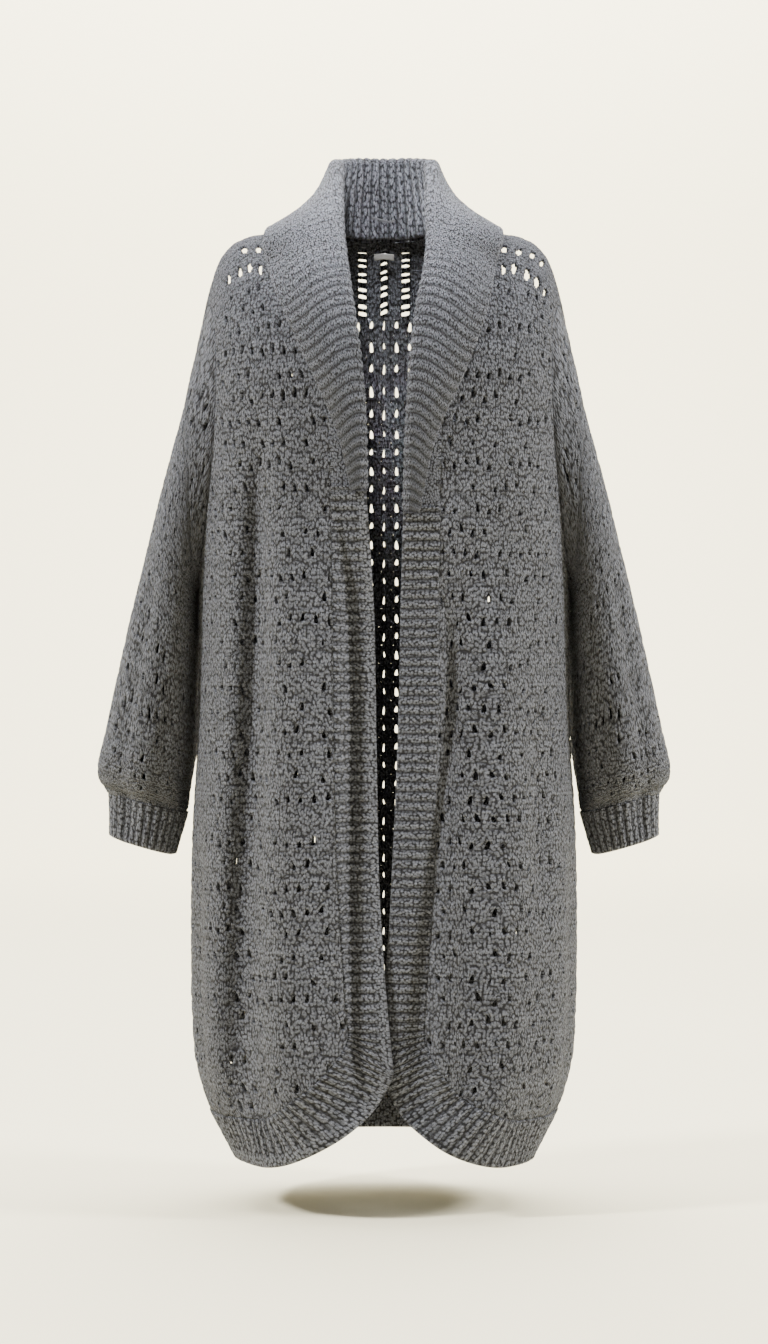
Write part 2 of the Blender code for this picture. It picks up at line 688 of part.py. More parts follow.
def front_rim(side):
    """The panel's edge that a band is sewn to: places along it, outer points and outward directions."""
    rows = front_rows(side)
    top = BREAK_RUN[side] + SEAM
    rows = np.append(top, rows[rows > top + 0.002])
    inner = front_seam(side, rows)
    angle, run = front_point(side, FRONT_COLUMNS[1:], np.full(len(FRONT_COLUMNS) - 1, rows[-1]))
    keys = np.concatenate([rows, rows[-1] + FRONT_COLUMNS[1:]])
    angle = np.concatenate([inner, angle])
    run = np.concatenate([rows, run])
    return keys, body(angle, run, side), body_normal(angle, run, side)


def read_line(keys, points, at):
    return np.stack([np.interp(at, keys, points[:, k]) for k in range(3)], axis=-1)


def band_surface(side, share, across):
    """Points and outward directions of a front band, from its seam, across 0, to its free edge, across 1."""
    straight, bend = BAND_SHARES
    turn = np.clip((share - straight) / (bend - straight), 0, 1)
    along = np.clip((share - bend) / (1 - bend), 0, 1)
    top = BREAK_RUN[side] + SEAM
    start = run_of(SEAM_CORNER_START)
    key = top + (start - top) * np.clip(share / straight, 0, 1)
    key = np.where(share > straight, run_of(corner(side, turn, True)[1]), key) + along
    keys, points, normals = front_rim(side)
    seam, seam_normal = read_line(keys, points, key), read_line(keys, normals, key)
    angle, run = band_edge(side, share)
    free, free_normal = body(angle, run, side), body_normal(angle, run, side)
    seam = seam + unit(free - seam) * RIB_SEAM
    t = across[:, None]
    return seam + (free - seam) * t, unit(seam_normal * (1 - t) + free_normal * t)


BAND_SHARES = (0.62, 0.83)
BAND_LENGTH = 0.93
HEM_LENGTH = 0.56


def front_band(side, name, material, collection):
    columns = rib_columns(BAND_LENGTH)
    flat = flat_pattern(columns, [0, 1])

    def laid(share, across):
        points, normal = band_surface(side, share, across)
        return ribbed(points, normal, rib_of(share, columns))

    return cloth(name, flat, laid, material, collection)


def back_hem(material, collection):
    columns = rib_columns(HEM_LENGTH)
    flat = flat_pattern(columns, [0, 1])
    rim_angle, rim_run = back_point(-BACK_COLUMNS, np.full(len(BACK_COLUMNS), BACK_ROWS[-1]))
    rim, rim_normal = body(rim_angle, rim_run), body_normal(rim_angle, rim_run)

    def laid(share, across):
        angle = math.pi / 2 + SEAM + (math.pi - 2 * SEAM) * share
        angle = np.clip(angle, rim_angle[0], rim_angle[-1])
        run = np.full(len(angle), HEM_RUN) - HEM_LIFT * (1 - np.cos(angle))
        free, free_normal = body(angle, run), body_normal(angle, run)
        seam = read_line(rim_angle, rim, angle)
        seam = seam + unit(free - seam) * RIB_SEAM
        t = across[:, None]
        normal = unit(read_line(rim_angle, rim_normal, angle) * (1 - t) + free_normal * t)
        return ribbed(seam + (free - seam) * t, normal, rib_of(share, columns))

    return cloth("hem_back", flat, laid, material, collection)


def neckline():
    """The edge of the panels that the collar is sewn to, from break to break, as the distance along it from the
    nape, the places on it and the directions into the opening."""

    def front(side):
        rows = front_rows(side)
        rows = np.append(rows[rows < BREAK_RUN[side] - 0.005], BREAK_RUN[side])
        rows[0] = SEAM / 2
        angle = front_seam(side, rows)
        places = body(angle, rows, side)
        return places, unit(body(angle - side * 0.02, rows, side) - places)

    back_u = BACK_COLUMNS[np.abs(BACK_COLUMNS) <= NECK_SHARE]
    angle, run = back_point(back_u, np.zeros(len(back_u)))
    back = body(angle, run)
    back_in = unit(back - body(angle, run + 0.004))
    left, left_in = front(LEFT)
    right, right_in = front(RIGHT)
    points = np.concatenate([left[::-1], back, right])
    inward = np.concatenate([left_in[::-1], back_in, right_in])
    lengths = np.concatenate([[0], np.cumsum(np.linalg.norm(np.diff(points, axis=0), axis=1))])
    nape = len(left) + len(back_u) // 2
    return lengths - lengths[nape], points, inward


NECKLINE = neckline()


def neck_half_length():
    lengths, points, _ = NECKLINE
    shoulder = np.argmin(np.linalg.norm(points[len(points) // 2 :, :2] - np.array([NECK_HALF_WIDTH, 0]), axis=1))
    return lengths[len(points) // 2 + shoulder]


def collar_stations():
    """Place along the neckline, fold, free edge, direction that the fold opens, and bulge, from break to break."""
    lengths = NECKLINE[0]
    half = neck_half_length()
    rows = []
    for side in (LEFT, RIGHT):
        for share, fold_x, fold_y, fold_z, free_x, free_y, free_z, bulge in NAPE:
            if side == LEFT and share == 0:
                continue
            fold = np.array([side * fold_x, fold_y, fold_z])
            free = np.array([side * free_x, free_y, free_z])
            opens = unit(np.array([free[0] - fold[0], free[1] - fold[1], 0.0]))
            rows.append((side * share * half, fold, free, opens, bulge))
        for z, fold_x, free_x in LAPELS[side]:
            run = run_at_height(z)
            place = side * np.interp(run, *neck_runs(side))
            place = np.clip(place, lengths[0], lengths[-1])
            fold_angle, free_angle = front_angle(fold_x, z), front_angle(free_x, z)
            normal = body_normal(np.array([fold_angle, free_angle]), np.array([run, run]), side)
            on_body = body(np.array([fold_angle, free_angle]), np.array([run, run]), side)
            wide = abs(free_x - fold_x) / 0.07
            rows.append((place, on_body[0], on_body[1] + normal[1] * LAPEL_LIFT, normal[0], LAPEL_BULGE * wide))
    rows.sort(key=lambda row: row[0])
    return rows


def run_at_height(z):
    drop = (FRONT_TOP - z) / (FRONT_TOP - CHEST_Z)
    if drop < 1:
        return SHOULDER_RUN * 2 / math.pi * math.acos(1 - drop)
    return run_of(z)


def neck_runs(side):
    """Runs down the front's seam with the distance along the neckline of each."""
    lengths = NECKLINE[0]
    rows = front_rows(side)
    rows = np.append(rows[rows < BREAK_RUN[side] - 0.005], BREAK_RUN[side])
    distances = -lengths[: len(rows)][::-1] if side == LEFT else lengths[-len(rows) :]
    return rows, distances


STAND_END = 0.22
FALL_START = 0.38
COLLAR_STEPS = (0.0, STAND_END, FALL_START, 0.68, 1.0)


def collar_surface(place, across):
    """The plain side of the collar's cloth: from its seam, over the fold, to its free edge."""
    lengths, points, inward = NECKLINE
    rows = STATIONS
    keys = np.array([row[0] for row in rows])
    fold = smooth(keys, np.array([row[1] for row in rows]), place)
    free = smooth(keys, np.array([row[2] for row in rows]), place)
    opens = unit(smooth(keys, np.array([row[3] for row in rows]), place))
    bulge = smooth(keys, np.array([row[4] for row in rows]), place)
    seam = np.stack([np.interp(place, lengths, points[:, k]) for k in range(3)], axis=-1)
    into = unit(np.stack([np.interp(place, lengths, inward[:, k]) for k in range(3)], axis=-1))
    seam = seam + into * COLLAR_SEAM
    stand = unit(fold - seam)
    opens = unit(opens - stand * np.sum(opens * stand, axis=-1, keepdims=True))
    outer_fold = fold + opens * ROLL
    t = np.clip(across / STAND_END, 0, 1)[:, None]
    rising = seam + (fold - seam) * t
    t = np.clip((across - STAND_END) / (FALL_START - STAND_END), 0, 1)[:, None]
    reach = ROLL * 0.62
    rolling = (
        fold * (1 - t) ** 3
        + 3 * (fold + stand * reach) * t * (1 - t) ** 2
        + 3 * (outer_fold + stand * reach) * t**2 * (1 - t)
        + outer_fold * t**3
    )
    t = np.clip((across - FALL_START) / (1 - FALL_START), 0, 1)[:, None]
    falling = outer_fold + (free - outer_fold) * t + opens * bulge[:, None] * np.sin(math.pi * t)
    flat = np.where((across < STAND_END)[:, None], rising, rolling)
    return np.where((across > FALL_START)[:, None], falling, flat)


STATIONS = collar_stations()


def collar_normal(place, across):
    """The direction of the collar's ribbed side, which shows on the fall and faces the neck on the stand."""
    step = 0.012
    limits = NECKLINE[0][0], NECKLINE[0][-1]
    along = collar_surface(np.minimum(place + step, limits[1]), across) - collar_surface(
        np.maximum(place - step, limits[0]), across
    )
    low, high = np.maximum(across - 0.03, 0), np.minimum(across + 0.03, 1)
    over = collar_surface(place, high) - collar_surface(place, low)
    return unit(np.cross(along, over))


def collar(material, collection):
    start, end = NECKLINE[0][0], NECKLINE[0][-1]
    columns = rib_columns(end - start)
    flat = flat_pattern(columns, COLLAR_STEPS)

    def laid(share, across):
        place = start + (end - start) * share
        base = collar_surface(place, across)
        normal = collar_normal(place, across)
        raised = RIB_WALL + RIB_RISE * rib_of(share, columns)
        return base + normal * raised[:, None], base

    return cloth("collar", flat, laid, material, collection)


def back_label(material, collection):
    width, height, thickness = LABEL
    near = EYELET_COLUMNS * BACK_WIDTH
    turns = near[np.abs(near) < width / 2 - SEAM]
    flat = flat_pattern([-width / 2, *turns, width / 2], [0, height])
    # It follows the cells of the back panel between its first two rows, on the inside.
    angle, run = back_point(EYELET_COLUMNS, np.full(len(near), BACK_ROWS[0]))
    upper, upper_normal = body(angle, run), body_normal(angle, run)
    angle, run = back_point(EYELET_COLUMNS, np.full(len(near), BACK_ROWS[1]))
    lower, lower_normal = body(angle, run), body_normal(angle, run)
    high = np.linalg.norm((lower - upper)[1])

    def laid(across, down):
        share = ((LABEL_DROP + down) / high)[:, None]
        top = read_line(near, upper - upper_normal * WALL, across)
        bottom = read_line(near, lower - lower_normal * WALL, across)
        points = top * (1 - share) + bottom * share
        inward = -unit(read_line(near, upper_normal * (1 - share[0]) + lower_normal * share[0], across))
        return points + inward * LABEL_GAP, points + inward * (LABEL_GAP + thickness)

    return cloth("label", flat, laid, material, collection)


def hanger_loop(material, collection):
    seam = collar_surface(np.array([0.0]), np.array([0.05]))[0]
    facing = collar_normal(np.array([0.0]), np.array([0.05]))[0]
    front = seam + facing * (RIB_WALL + RIB_RISE + LOOP_RADIUS + LOOP_GAP)
    curve = bpy.data.curves.new("hanger_loop", "CURVE")
    curve.dimensions = "3D"
    curve.bevel_depth = LOOP_RADIUS
    curve.bevel_resolution = 1
    curve.use_fill_caps = True
    spline = curve.splines.new("POLY")
    count = 9
    spline.points.add(count - 1)
    for index, point in enumerate(spline.points):
        share = 2 * index / (count - 1) - 1
        back = front[1] - LOOP_BOW * share**2
        point.co = (share * LOOP_SPAN / 2, back, front[2] - LOOP_SAG * (1 - share**2), 1)
    curve.materials.append(material)
    piece = bpy.data.objects.new("hanger_loop", curve)
    collection.objects.link(piece)
    return piece


def main():
    for old in list(bpy.data.objects):
        bpy.data.objects.remove(old, do_unlink=True)
    collection = bpy.data.collections.new("Crochet cardigan")
    bpy.context.scene.collection.children.link(collection)
    wool = make_material("Grey marled crochet", GREY, 0.9)
    rib = make_material("Grey marled ribbing", GREY, 0.92)
    dark = make_material("Dark grey tape", DARK_GREY, 0.9)
    woven = make_material("Blank woven label", LABEL_GREY, 0.7)
    front_panel(LEFT, "front_left", wool, collection)
    front_panel(RIGHT, "front_right", wool, collection)
    back_panel(wool, collection)
    for side, word in ((LEFT, "left"), (RIGHT, "right")):
        for half in HALVES:
            sleeve_half(side, half, f"sleeve_{word}_{half}", wool, collection)
        cuff(side, f"cuff_{word}", rib, collection)
        front_band(side, f"band_{word}", rib, collection)
    back_hem(rib, collection)
    collar(rib, collection)
    back_label(woven, collection)
    hanger_loop(dark, collection)


main()
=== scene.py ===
"""Long crochet cardigan, filled out as worn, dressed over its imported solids.

Metres, +Z up, the front faces -Y. Left and right are the viewer's. Each cloth piece is a fine grid, laid on the same
form as its solid, with its stitches raised and its eyelets cut out. A piece's UV map is its cloth, in metres across
and down.
"""

import math

import bpy
import numpy as np
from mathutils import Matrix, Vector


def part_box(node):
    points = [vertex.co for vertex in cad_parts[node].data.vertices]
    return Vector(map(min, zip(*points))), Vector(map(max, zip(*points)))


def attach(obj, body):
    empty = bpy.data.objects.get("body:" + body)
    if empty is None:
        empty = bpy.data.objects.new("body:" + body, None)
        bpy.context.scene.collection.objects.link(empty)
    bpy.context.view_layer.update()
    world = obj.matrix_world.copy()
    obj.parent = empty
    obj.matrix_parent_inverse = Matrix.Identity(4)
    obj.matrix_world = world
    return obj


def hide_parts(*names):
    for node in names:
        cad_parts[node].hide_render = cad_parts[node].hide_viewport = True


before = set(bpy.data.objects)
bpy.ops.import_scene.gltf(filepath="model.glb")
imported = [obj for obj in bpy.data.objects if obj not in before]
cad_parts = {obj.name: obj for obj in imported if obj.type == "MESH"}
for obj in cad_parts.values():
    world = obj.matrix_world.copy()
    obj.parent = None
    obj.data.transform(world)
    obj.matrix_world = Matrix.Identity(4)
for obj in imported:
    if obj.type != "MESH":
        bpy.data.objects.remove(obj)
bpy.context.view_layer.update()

RIB_WALL = 0.0045
RIB_RISE = 0.002
RIB_PITCH = 0.0124
SEAM = 0.0004
RIB_SEAM = 0.00056
SLEEVE_SEAM = 0.00064
COLLAR_SEAM = 0.0006
LABEL_GAP = 0.00048
LOOP_GAP = 0.0012
LEFT = -1
RIGHT = 1

FRONT_FULLNESS = 2.4
CHEST_Z = -0.200
FRONT_TOP = 0.013
SHOULDER_RUN = 0.290
UNDERARM_RUN = SHOULDER_RUN + 0.200
HEM_RUN = SHOULDER_RUN + 0.837
HEM_LIFT = 0.005
HEM_HEIGHT = 0.052
NECK_HALF_WIDTH = 0.078
NECK_RUN = 0.092
ARMHOLE_TOP = 0.22
ARMHOLE_BITE = 0.55

# Height, half width, depth of the front and depth of the back, down the body.
BODY = (
    (-0.120, 0.2090, 0.148, 0.145),
    (-0.200, 0.2075, 0.156, 0.150),
    (-0.400, 0.2080, 0.160, 0.152),
    (-0.560, 0.2090, 0.162, 0.155),
    (-0.680, 0.2155, 0.165, 0.160),
    (-0.800, 0.2170, 0.168, 0.165),
    (-0.880, 0.2155, 0.170, 0.168),
    (-0.930, 0.2115, 0.170, 0.167),
    (-0.972, 0.2000, 0.168, 0.163),
    (-1.005, 0.1850, 0.164, 0.158),
    (-1.040, 0.1660, 0.158, 0.151),
)

# Distance from the middle and height of the shoulder line, from the neck out to the top of the arm.
SHOULDER_LINE = (
    (0.0, 0.032),
    (0.040, 0.025),
    (0.078, 0.013),
    (0.127, 0.001),
    (0.155, -0.004),
    (0.173, -0.014),
    (0.1845, -0.029),
    (0.1920, -0.048),
    (0.2000, -0.078),
    (0.2055, -0.104),
    (0.2100, -0.124),
)

# Side, angle from the front middle in degrees, width in degrees, depth, top and bottom height of each large fold.
FOLDS = (
    ("left front valley", -41, 6.0, -0.011, -0.20, -1.02),
    ("left front ridge", -25, 9.0, 0.009, -0.30, -1.03),
    ("left opening turn", -1, 11.0, -0.020, -0.28, -1.06),
    ("right opening turn", 4, 11.0, -0.018, -0.30, -1.06),
    ("right front valley", 25, 5.5, -0.013, -0.32, -1.00),
    ("right front ridge", 36, 8.0, 0.007, -0.36, -1.03),
    ("right shallow valley", 50, 5.0, -0.006, -0.50, -0.78),
    ("right side fold", 72, 7.0, -0.006, -0.62, -1.00),
    ("left side fold", -70, 7.0, -0.007, -0.60, -0.98),
    ("back left valley", -128, 6.0, -0.009, -0.42, -1.01),
    ("back left ridge", -146, 9.0, 0.006, -0.30, -1.02),
    ("back middle valley", 176, 7.0, -0.006, -0.45, -0.96),
    ("back right ridge", 150, 9.0, 0.007, -0.34, -1.02),
    ("back right valley", 127, 6.5, -0.010, -0.38, -1.02),
)

# Height, where the free edge of the band lies across the middle, and where its seam lies.
LEFT_EDGE = (
    (-0.300, -0.0215, -0.0580),
    (-0.416, -0.0151, -0.0560),
    (-0.590, -0.0114, -0.0545),
    (-0.742, -0.0071, -0.0510),
    (-0.873, 0.0038, -0.0430),
    (-0.950, 0.0130, -0.0360),
)
RIGHT_EDGE = (
    (-0.325, 0.0235, 0.0610),
    (-0.500, 0.0225, 0.0615),
    (-0.590, 0.0193, 0.0605),
    (-0.742, 0.0110, 0.0565),
    (-0.873, 0.0030, 0.0490),
    (-0.950, 0.0010, 0.0460),
)
UPPER_SEAM = 0.066
EDGE_TABLES = {LEFT: LEFT_EDGE, RIGHT: RIGHT_EDGE}
BREAK_RUN = {LEFT: SHOULDER_RUN + 0.102, RIGHT: SHOULDER_RUN + 0.125}
# Rounded lower corners: where the edge and the seam leave the straight, and where they meet the hem.
CORNER_START = -0.930
SEAM_CORNER_START = -0.890
CORNER_END = {LEFT: -0.134, RIGHT: 0.1365}
SEAM_CORNER_END = {LEFT: -0.148, RIGHT: 0.150}
CORNER_FULLNESS = {LEFT: 1.45, RIGHT: 1.65}
LAP = 0.0058

# Outer and inner point of each sleeve ring as distance from the middle and height, with its half depth and centre.
SLEEVE_RINGS = (
    (0.2060, -0.095, 0.2085, -0.3995, 0.076, 0.000),
    (0.2150, -0.148, 0.2125, -0.4010, 0.079, 0.003),
    (0.2265, -0.200, 0.2140, -0.4060, 0.081, 0.006),
    (0.2405, -0.250, 0.2145, -0.4150, 0.083, 0.009),
    (0.2550, -0.305, 0.2150, -0.4300, 0.084, 0.012),
    (0.2690, -0.362, 0.2152, -0.4530, 0.084, 0.014),
    (0.2840, -0.422, 0.2154, -0.4870, 0.083, 0.016),
    (0.2985, -0.485, 0.2158, -0.5330, 0.081, 0.017),
    (0.3115, -0.545, 0.2180, -0.5820, 0.079, 0.017),
    (0.3200, -0.590, 0.2215, -0.6180, 0.074, 0.016),
    (0.3180, -0.614, 0.2225, -0.6400, 0.063, 0.014),
    (0.3105, -0.6293, 0.2240, -0.6520, 0.050, 0.012),
    (0.3090, -0.6780, 0.2375, -0.6985, 0.043, 0.010),
)
CUFF_RING = len(SLEEVE_RINGS) - 2
SLEEVE_FULLNESS = 2.2
# Angle round the sleeve from its outer side in degrees, width, depth and the rings between which each fold runs.
SLEEVE_FOLDS = (
    ("front fold", 62, 13, -0.007, 4.0, 12.5),
    ("inner front fold", 112, 12, -0.004, 6.0, 11.5),
    ("back fold", -70, 14, -0.007, 3.5, 12.0),
    ("back elbow fold", -115, 12, -0.005, 5.0, 10.5),
)

# Turned collar behind the neck: how far round the neckline, its fold, its free edge and its bulge, from the nape.
NAPE = (
    (0.00, 0.0000, 0.0850, 0.0920, 0.0000, 0.1370, -0.0020, 0.001),
    (0.33, 0.0300, 0.0770, 0.0910, 0.0600, 0.1240, -0.0010, 0.000),
    (0.66, 0.0500, 0.0480, 0.0840, 0.1030, 0.0800, 0.0010, -0.005),
    (1.00, 0.0510, 0.0060, 0.0720, 0.1230, 0.0170, 0.0070, -0.009),
    (1.20, 0.0510, -0.0330, 0.0430, 0.1280, -0.0390, -0.0020, -0.002),
)
# Turned collar in front: height, fold and free edge, down to the break.
LEFT_LAPEL = (
    (-0.045, -0.0485, -0.1240),
    (-0.100, -0.0405, -0.1050),
    (-0.165, -0.0315, -0.0765),
    (-0.235, -0.0265, -0.0470),
    (-0.298, -0.0255, -0.0320),
)
RIGHT_LAPEL = (
    (-0.045, 0.0530, 0.1190),
    (-0.100, 0.0430, 0.1080),
    (-0.165, 0.0350, 0.0850),
    (-0.235, 0.0305, 0.0540),
    (-0.321, 0.0285, 0.0350),
)
LAPELS = {LEFT: LEFT_LAPEL, RIGHT: RIGHT_LAPEL}
ROLL = 0.006
LAPEL_LIFT = 0.0035
LAPEL_BULGE = 0.009

LABEL = (0.024, 0.009, 0.0012)
LABEL_DROP = 0.0165
LOOP_SPAN = 0.024
LOOP_SAG = 0.006
LOOP_RADIUS = 0.0013
LOOP_BOW = 0.0036

def smooth(keys, rows, at):
    """Read a short table at any place: a cubic through its rows, level outside them."""
    keys = np.asarray(keys, float)
    rows = np.asarray(rows, float)
    slopes = np.gradient(rows, keys, axis=0)
    at = np.clip(np.asarray(at, float), keys[0], keys[-1])
    left = np.clip(np.searchsorted(keys, at, side="right") - 1, 0, len(keys) - 2)
    span = keys[left + 1] - keys[left]
    t = (at - keys[left]) / span
    if rows.ndim > 1:
        t = t.reshape(t.shape + (1,) * (rows.ndim - 1))
        span = span.reshape(t.shape)
    return (
        rows[left] * (1 + 2 * t) * (1 - t) ** 2
        + slopes[left] * span * t * (1 - t) ** 2
        + rows[left + 1] * t**2 * (3 - 2 * t)
        + slopes[left + 1] * span * t**2 * (t - 1)
    )


def ease(low, high, at):
    t = np.clip((at - low) / (high - low), 0, 1)
    return t * t * (3 - 2 * t)


def unit(vectors):
    return vectors / np.maximum(np.linalg.norm(vectors, axis=-1, keepdims=True), 1e-9)


def body_size(z):
    table = np.array(BODY)[::-1]
    return np.moveaxis(smooth(table[:, 0], table[:, 1:], z), -1, 0)


def folds(angle, z):
    """How far the cloth stands out or in at its large folds."""
    total = np.zeros(np.broadcast(angle, z).shape)
    for _, middle, width, depth, top, bottom in FOLDS:
        away = (np.degrees(angle) - middle + 180) % 360 - 180
        start = ease(top, top - 0.16, z)
        end = 1 - ease(bottom + 0.07, bottom - 0.03, z)
        total = total + depth * np.exp(-((away / width) ** 2)) * start * end
    return total


def body(angle, run, side=0):
    """A point on the cloth of the body: the angle round it from the front middle, and the run down from the shoulder."""
    angle, run = np.broadcast_arrays(np.asarray(angle, float), np.asarray(run, float))
    turn = np.clip(run / SHOULDER_RUN, 0, 1) * math.pi / 2
    low = CHEST_Z - np.maximum(run - SHOULDER_RUN, 0)
    half, front, back = body_size(low)
    depth = (front + back) / 2 + (front - back) / 2 * np.cos(angle)
    full = (np.abs(np.sin(angle)) ** FRONT_FULLNESS + np.abs(np.cos(angle)) ** FRONT_FULLNESS) ** (
        -1 / FRONT_FULLNESS
    )
    x = half * np.sin(angle) * full
    y = -depth * np.cos(angle) * full * np.sin(turn) ** 1.15
    line = np.array(SHOULDER_LINE)
    top = smooth(line[:, 0], line[:, 1], np.abs(x))
    z = np.where(run < SHOULDER_RUN, top + (CHEST_Z - top) * (1 - np.cos(turn)), low)
    reach = np.hypot(x, y)
    scale = 1 + folds(angle, z) / np.maximum(reach, 0.05)
    # The left front laps over the right one towards the hem.
    lap = side * LAP * ease(-0.74, -0.88, z) * np.exp(-((x / 0.055) ** 2))
    return np.stack([x * scale, y * scale + np.where(np.cos(angle) > 0, lap, 0), z], axis=-1)


def body_normal(angle, run, side=0):
    """The outward direction of the body's cloth."""
    step = 0.004
    run = np.maximum(run, step)
    across = body(angle + step * 5, run, side) - body(angle - step * 5, run, side)
    down = body(angle, run + step, side) - body(angle, run - step, side)
    normal = np.cross(down, across)
    # Front and back read one direction along the shoulder line, where their walls meet.
    level = ease(0.0, 0.03, run - step)
    return unit(normal * np.stack([np.ones_like(level), level, np.ones_like(level)], axis=-1))


def front_angle(x, z):
    """The angle round the body of a point on its front, from its distance across."""
    half = body_size(np.asarray(z, float))[0]
    share = np.clip(np.abs(x) / half, 0, 1)
    return np.sign(x) * np.arctan2(share, (1 - share**FRONT_FULLNESS) ** (1 / FRONT_FULLNESS))


def run_of(z):
    return SHOULDER_RUN + CHEST_Z - z


def height_of(run):
    """The level of a run at the front middle, near enough for reading the edge tables."""
    over = FRONT_TOP + (CHEST_Z - FRONT_TOP) * (1 - np.cos(run / SHOULDER_RUN * math.pi / 2))
    return np.where(run < SHOULDER_RUN, over, CHEST_Z - (run - SHOULDER_RUN))


def armhole_angle(run):
    """Where the armhole cuts the side of the body, from the top of the arm to the underarm and level below it."""
    share = np.clip(run / UNDERARM_RUN, 0, 1)
    rising = ARMHOLE_TOP + (ARMHOLE_BITE - ARMHOLE_TOP) * np.sin(math.pi * np.minimum(share, 0.5))
    closing = ARMHOLE_BITE * np.sqrt(np.clip(1 - (np.maximum(share - 0.5, 0) / 0.5) ** 2, 0, 1))
    return math.pi / 2 - np.where(share < 0.5, rising, closing)


HEM_SEAM_RUN = HEM_RUN - HEM_HEIGHT


def corner(side, turn, seam):
    """The rounded lower corner as distance across and height, from its start, turn 0, to the hem, turn 1."""
    power = 2 / CORNER_FULLNESS[side]
    start_z = SEAM_CORNER_START if seam else CORNER_START
    end_z = CHEST_Z - (HEM_SEAM_RUN - SHOULDER_RUN) if seam else CHEST_Z - (HEM_RUN - SHOULDER_RUN)
    end_x = SEAM_CORNER_END[side] if seam else CORNER_END[side]
    start_x = edge_x(side, start_z, seam)
    angle = np.asarray(turn) * math.pi / 2
    x = start_x + (end_x - start_x) * (1 - np.cos(angle) ** power)
    z = start_z + (end_z - start_z) * np.sin(angle) ** power
    return x, z


def edge_x(side, z, seam):
    """Distance across of the front's seam or of the band's free edge, above the corner."""
    table = np.array(EDGE_TABLES[side])[::-1]
    x = smooth(table[:, 0], table[:, 2 if seam else 1], z)
    upper = side * UPPER_SEAM
    neck = side * NECK_HALF_WIDTH
    if seam:
        x = np.where(z > table[-1, 0], x + (upper - x) * ease(table[-1, 0], -0.10, z), x)
        x = np.where(z > -0.10, upper + (neck - upper) * ease(-0.10, 0.01, z), x)
    return x


def back_start(u):
    """How far down from the shoulder line the back panel starts: the hollow of the back neck."""
    angle = (math.pi / 2 - ARMHOLE_TOP) * np.abs(u)
    full = (np.sin(angle) ** FRONT_FULLNESS + np.cos(angle) ** FRONT_FULLNESS) ** (-1 / FRONT_FULLNESS)
    x = body_size(CHEST_Z + 0.08)[0] * np.sin(angle) * full
    inside = np.clip(1 - (x / NECK_HALF_WIDTH) ** 2.2, 0, 1)
    return NECK_RUN * inside**0.5


def through(rings, at):
    """Read each point's own column of rings at its own place between them."""
    slopes = np.gradient(rings, axis=0)
    at = np.clip(at, 0, len(rings) - 1)
    low = np.minimum(at.astype(int), len(rings) - 2)
    t = (at - low)[:, None]
    point = np.arange(len(at))
    return (
        rings[low, point] * (1 + 2 * t) * (1 - t) ** 2
        + slopes[low, point] * t * (1 - t) ** 2
        + rings[low + 1, point] * t**2 * (3 - 2 * t)
        + slopes[low + 1, point] * t**2 * (t - 1)
    )


ARMHOLE_RUNS = np.linspace(0.0, 1.0, 60) ** 0.95 * UNDERARM_RUN
HALVES = {"front": -1, "back": 1}


def armhole_point(side, half, run):
    """The edge of the armhole, in front or behind."""
    angle = armhole_angle(run)
    if HALVES[half] > 0:
        angle = math.pi - angle
    return body(side * angle, run)


def armhole_shares():
    """How far round the half armhole each row of the body comes, from 0 at the shoulder to 1 at the underarm."""
    points = armhole_point(RIGHT, "front", ARMHOLE_RUNS)
    lengths = np.concatenate([[0], np.cumsum(np.linalg.norm(np.diff(points, axis=0), axis=1))])
    return lengths / lengths[-1]


SHARES = armhole_shares()


def sleeve_fold(degrees, ring):
    total = np.zeros(len(degrees))
    for _, middle, width, depth, start, end in SLEEVE_FOLDS:
        away = degrees - middle
        total += depth * np.exp(-((away / width) ** 2)) * ease(start, start + 2, ring) * (1 - ease(end - 1, end, ring))
    return total


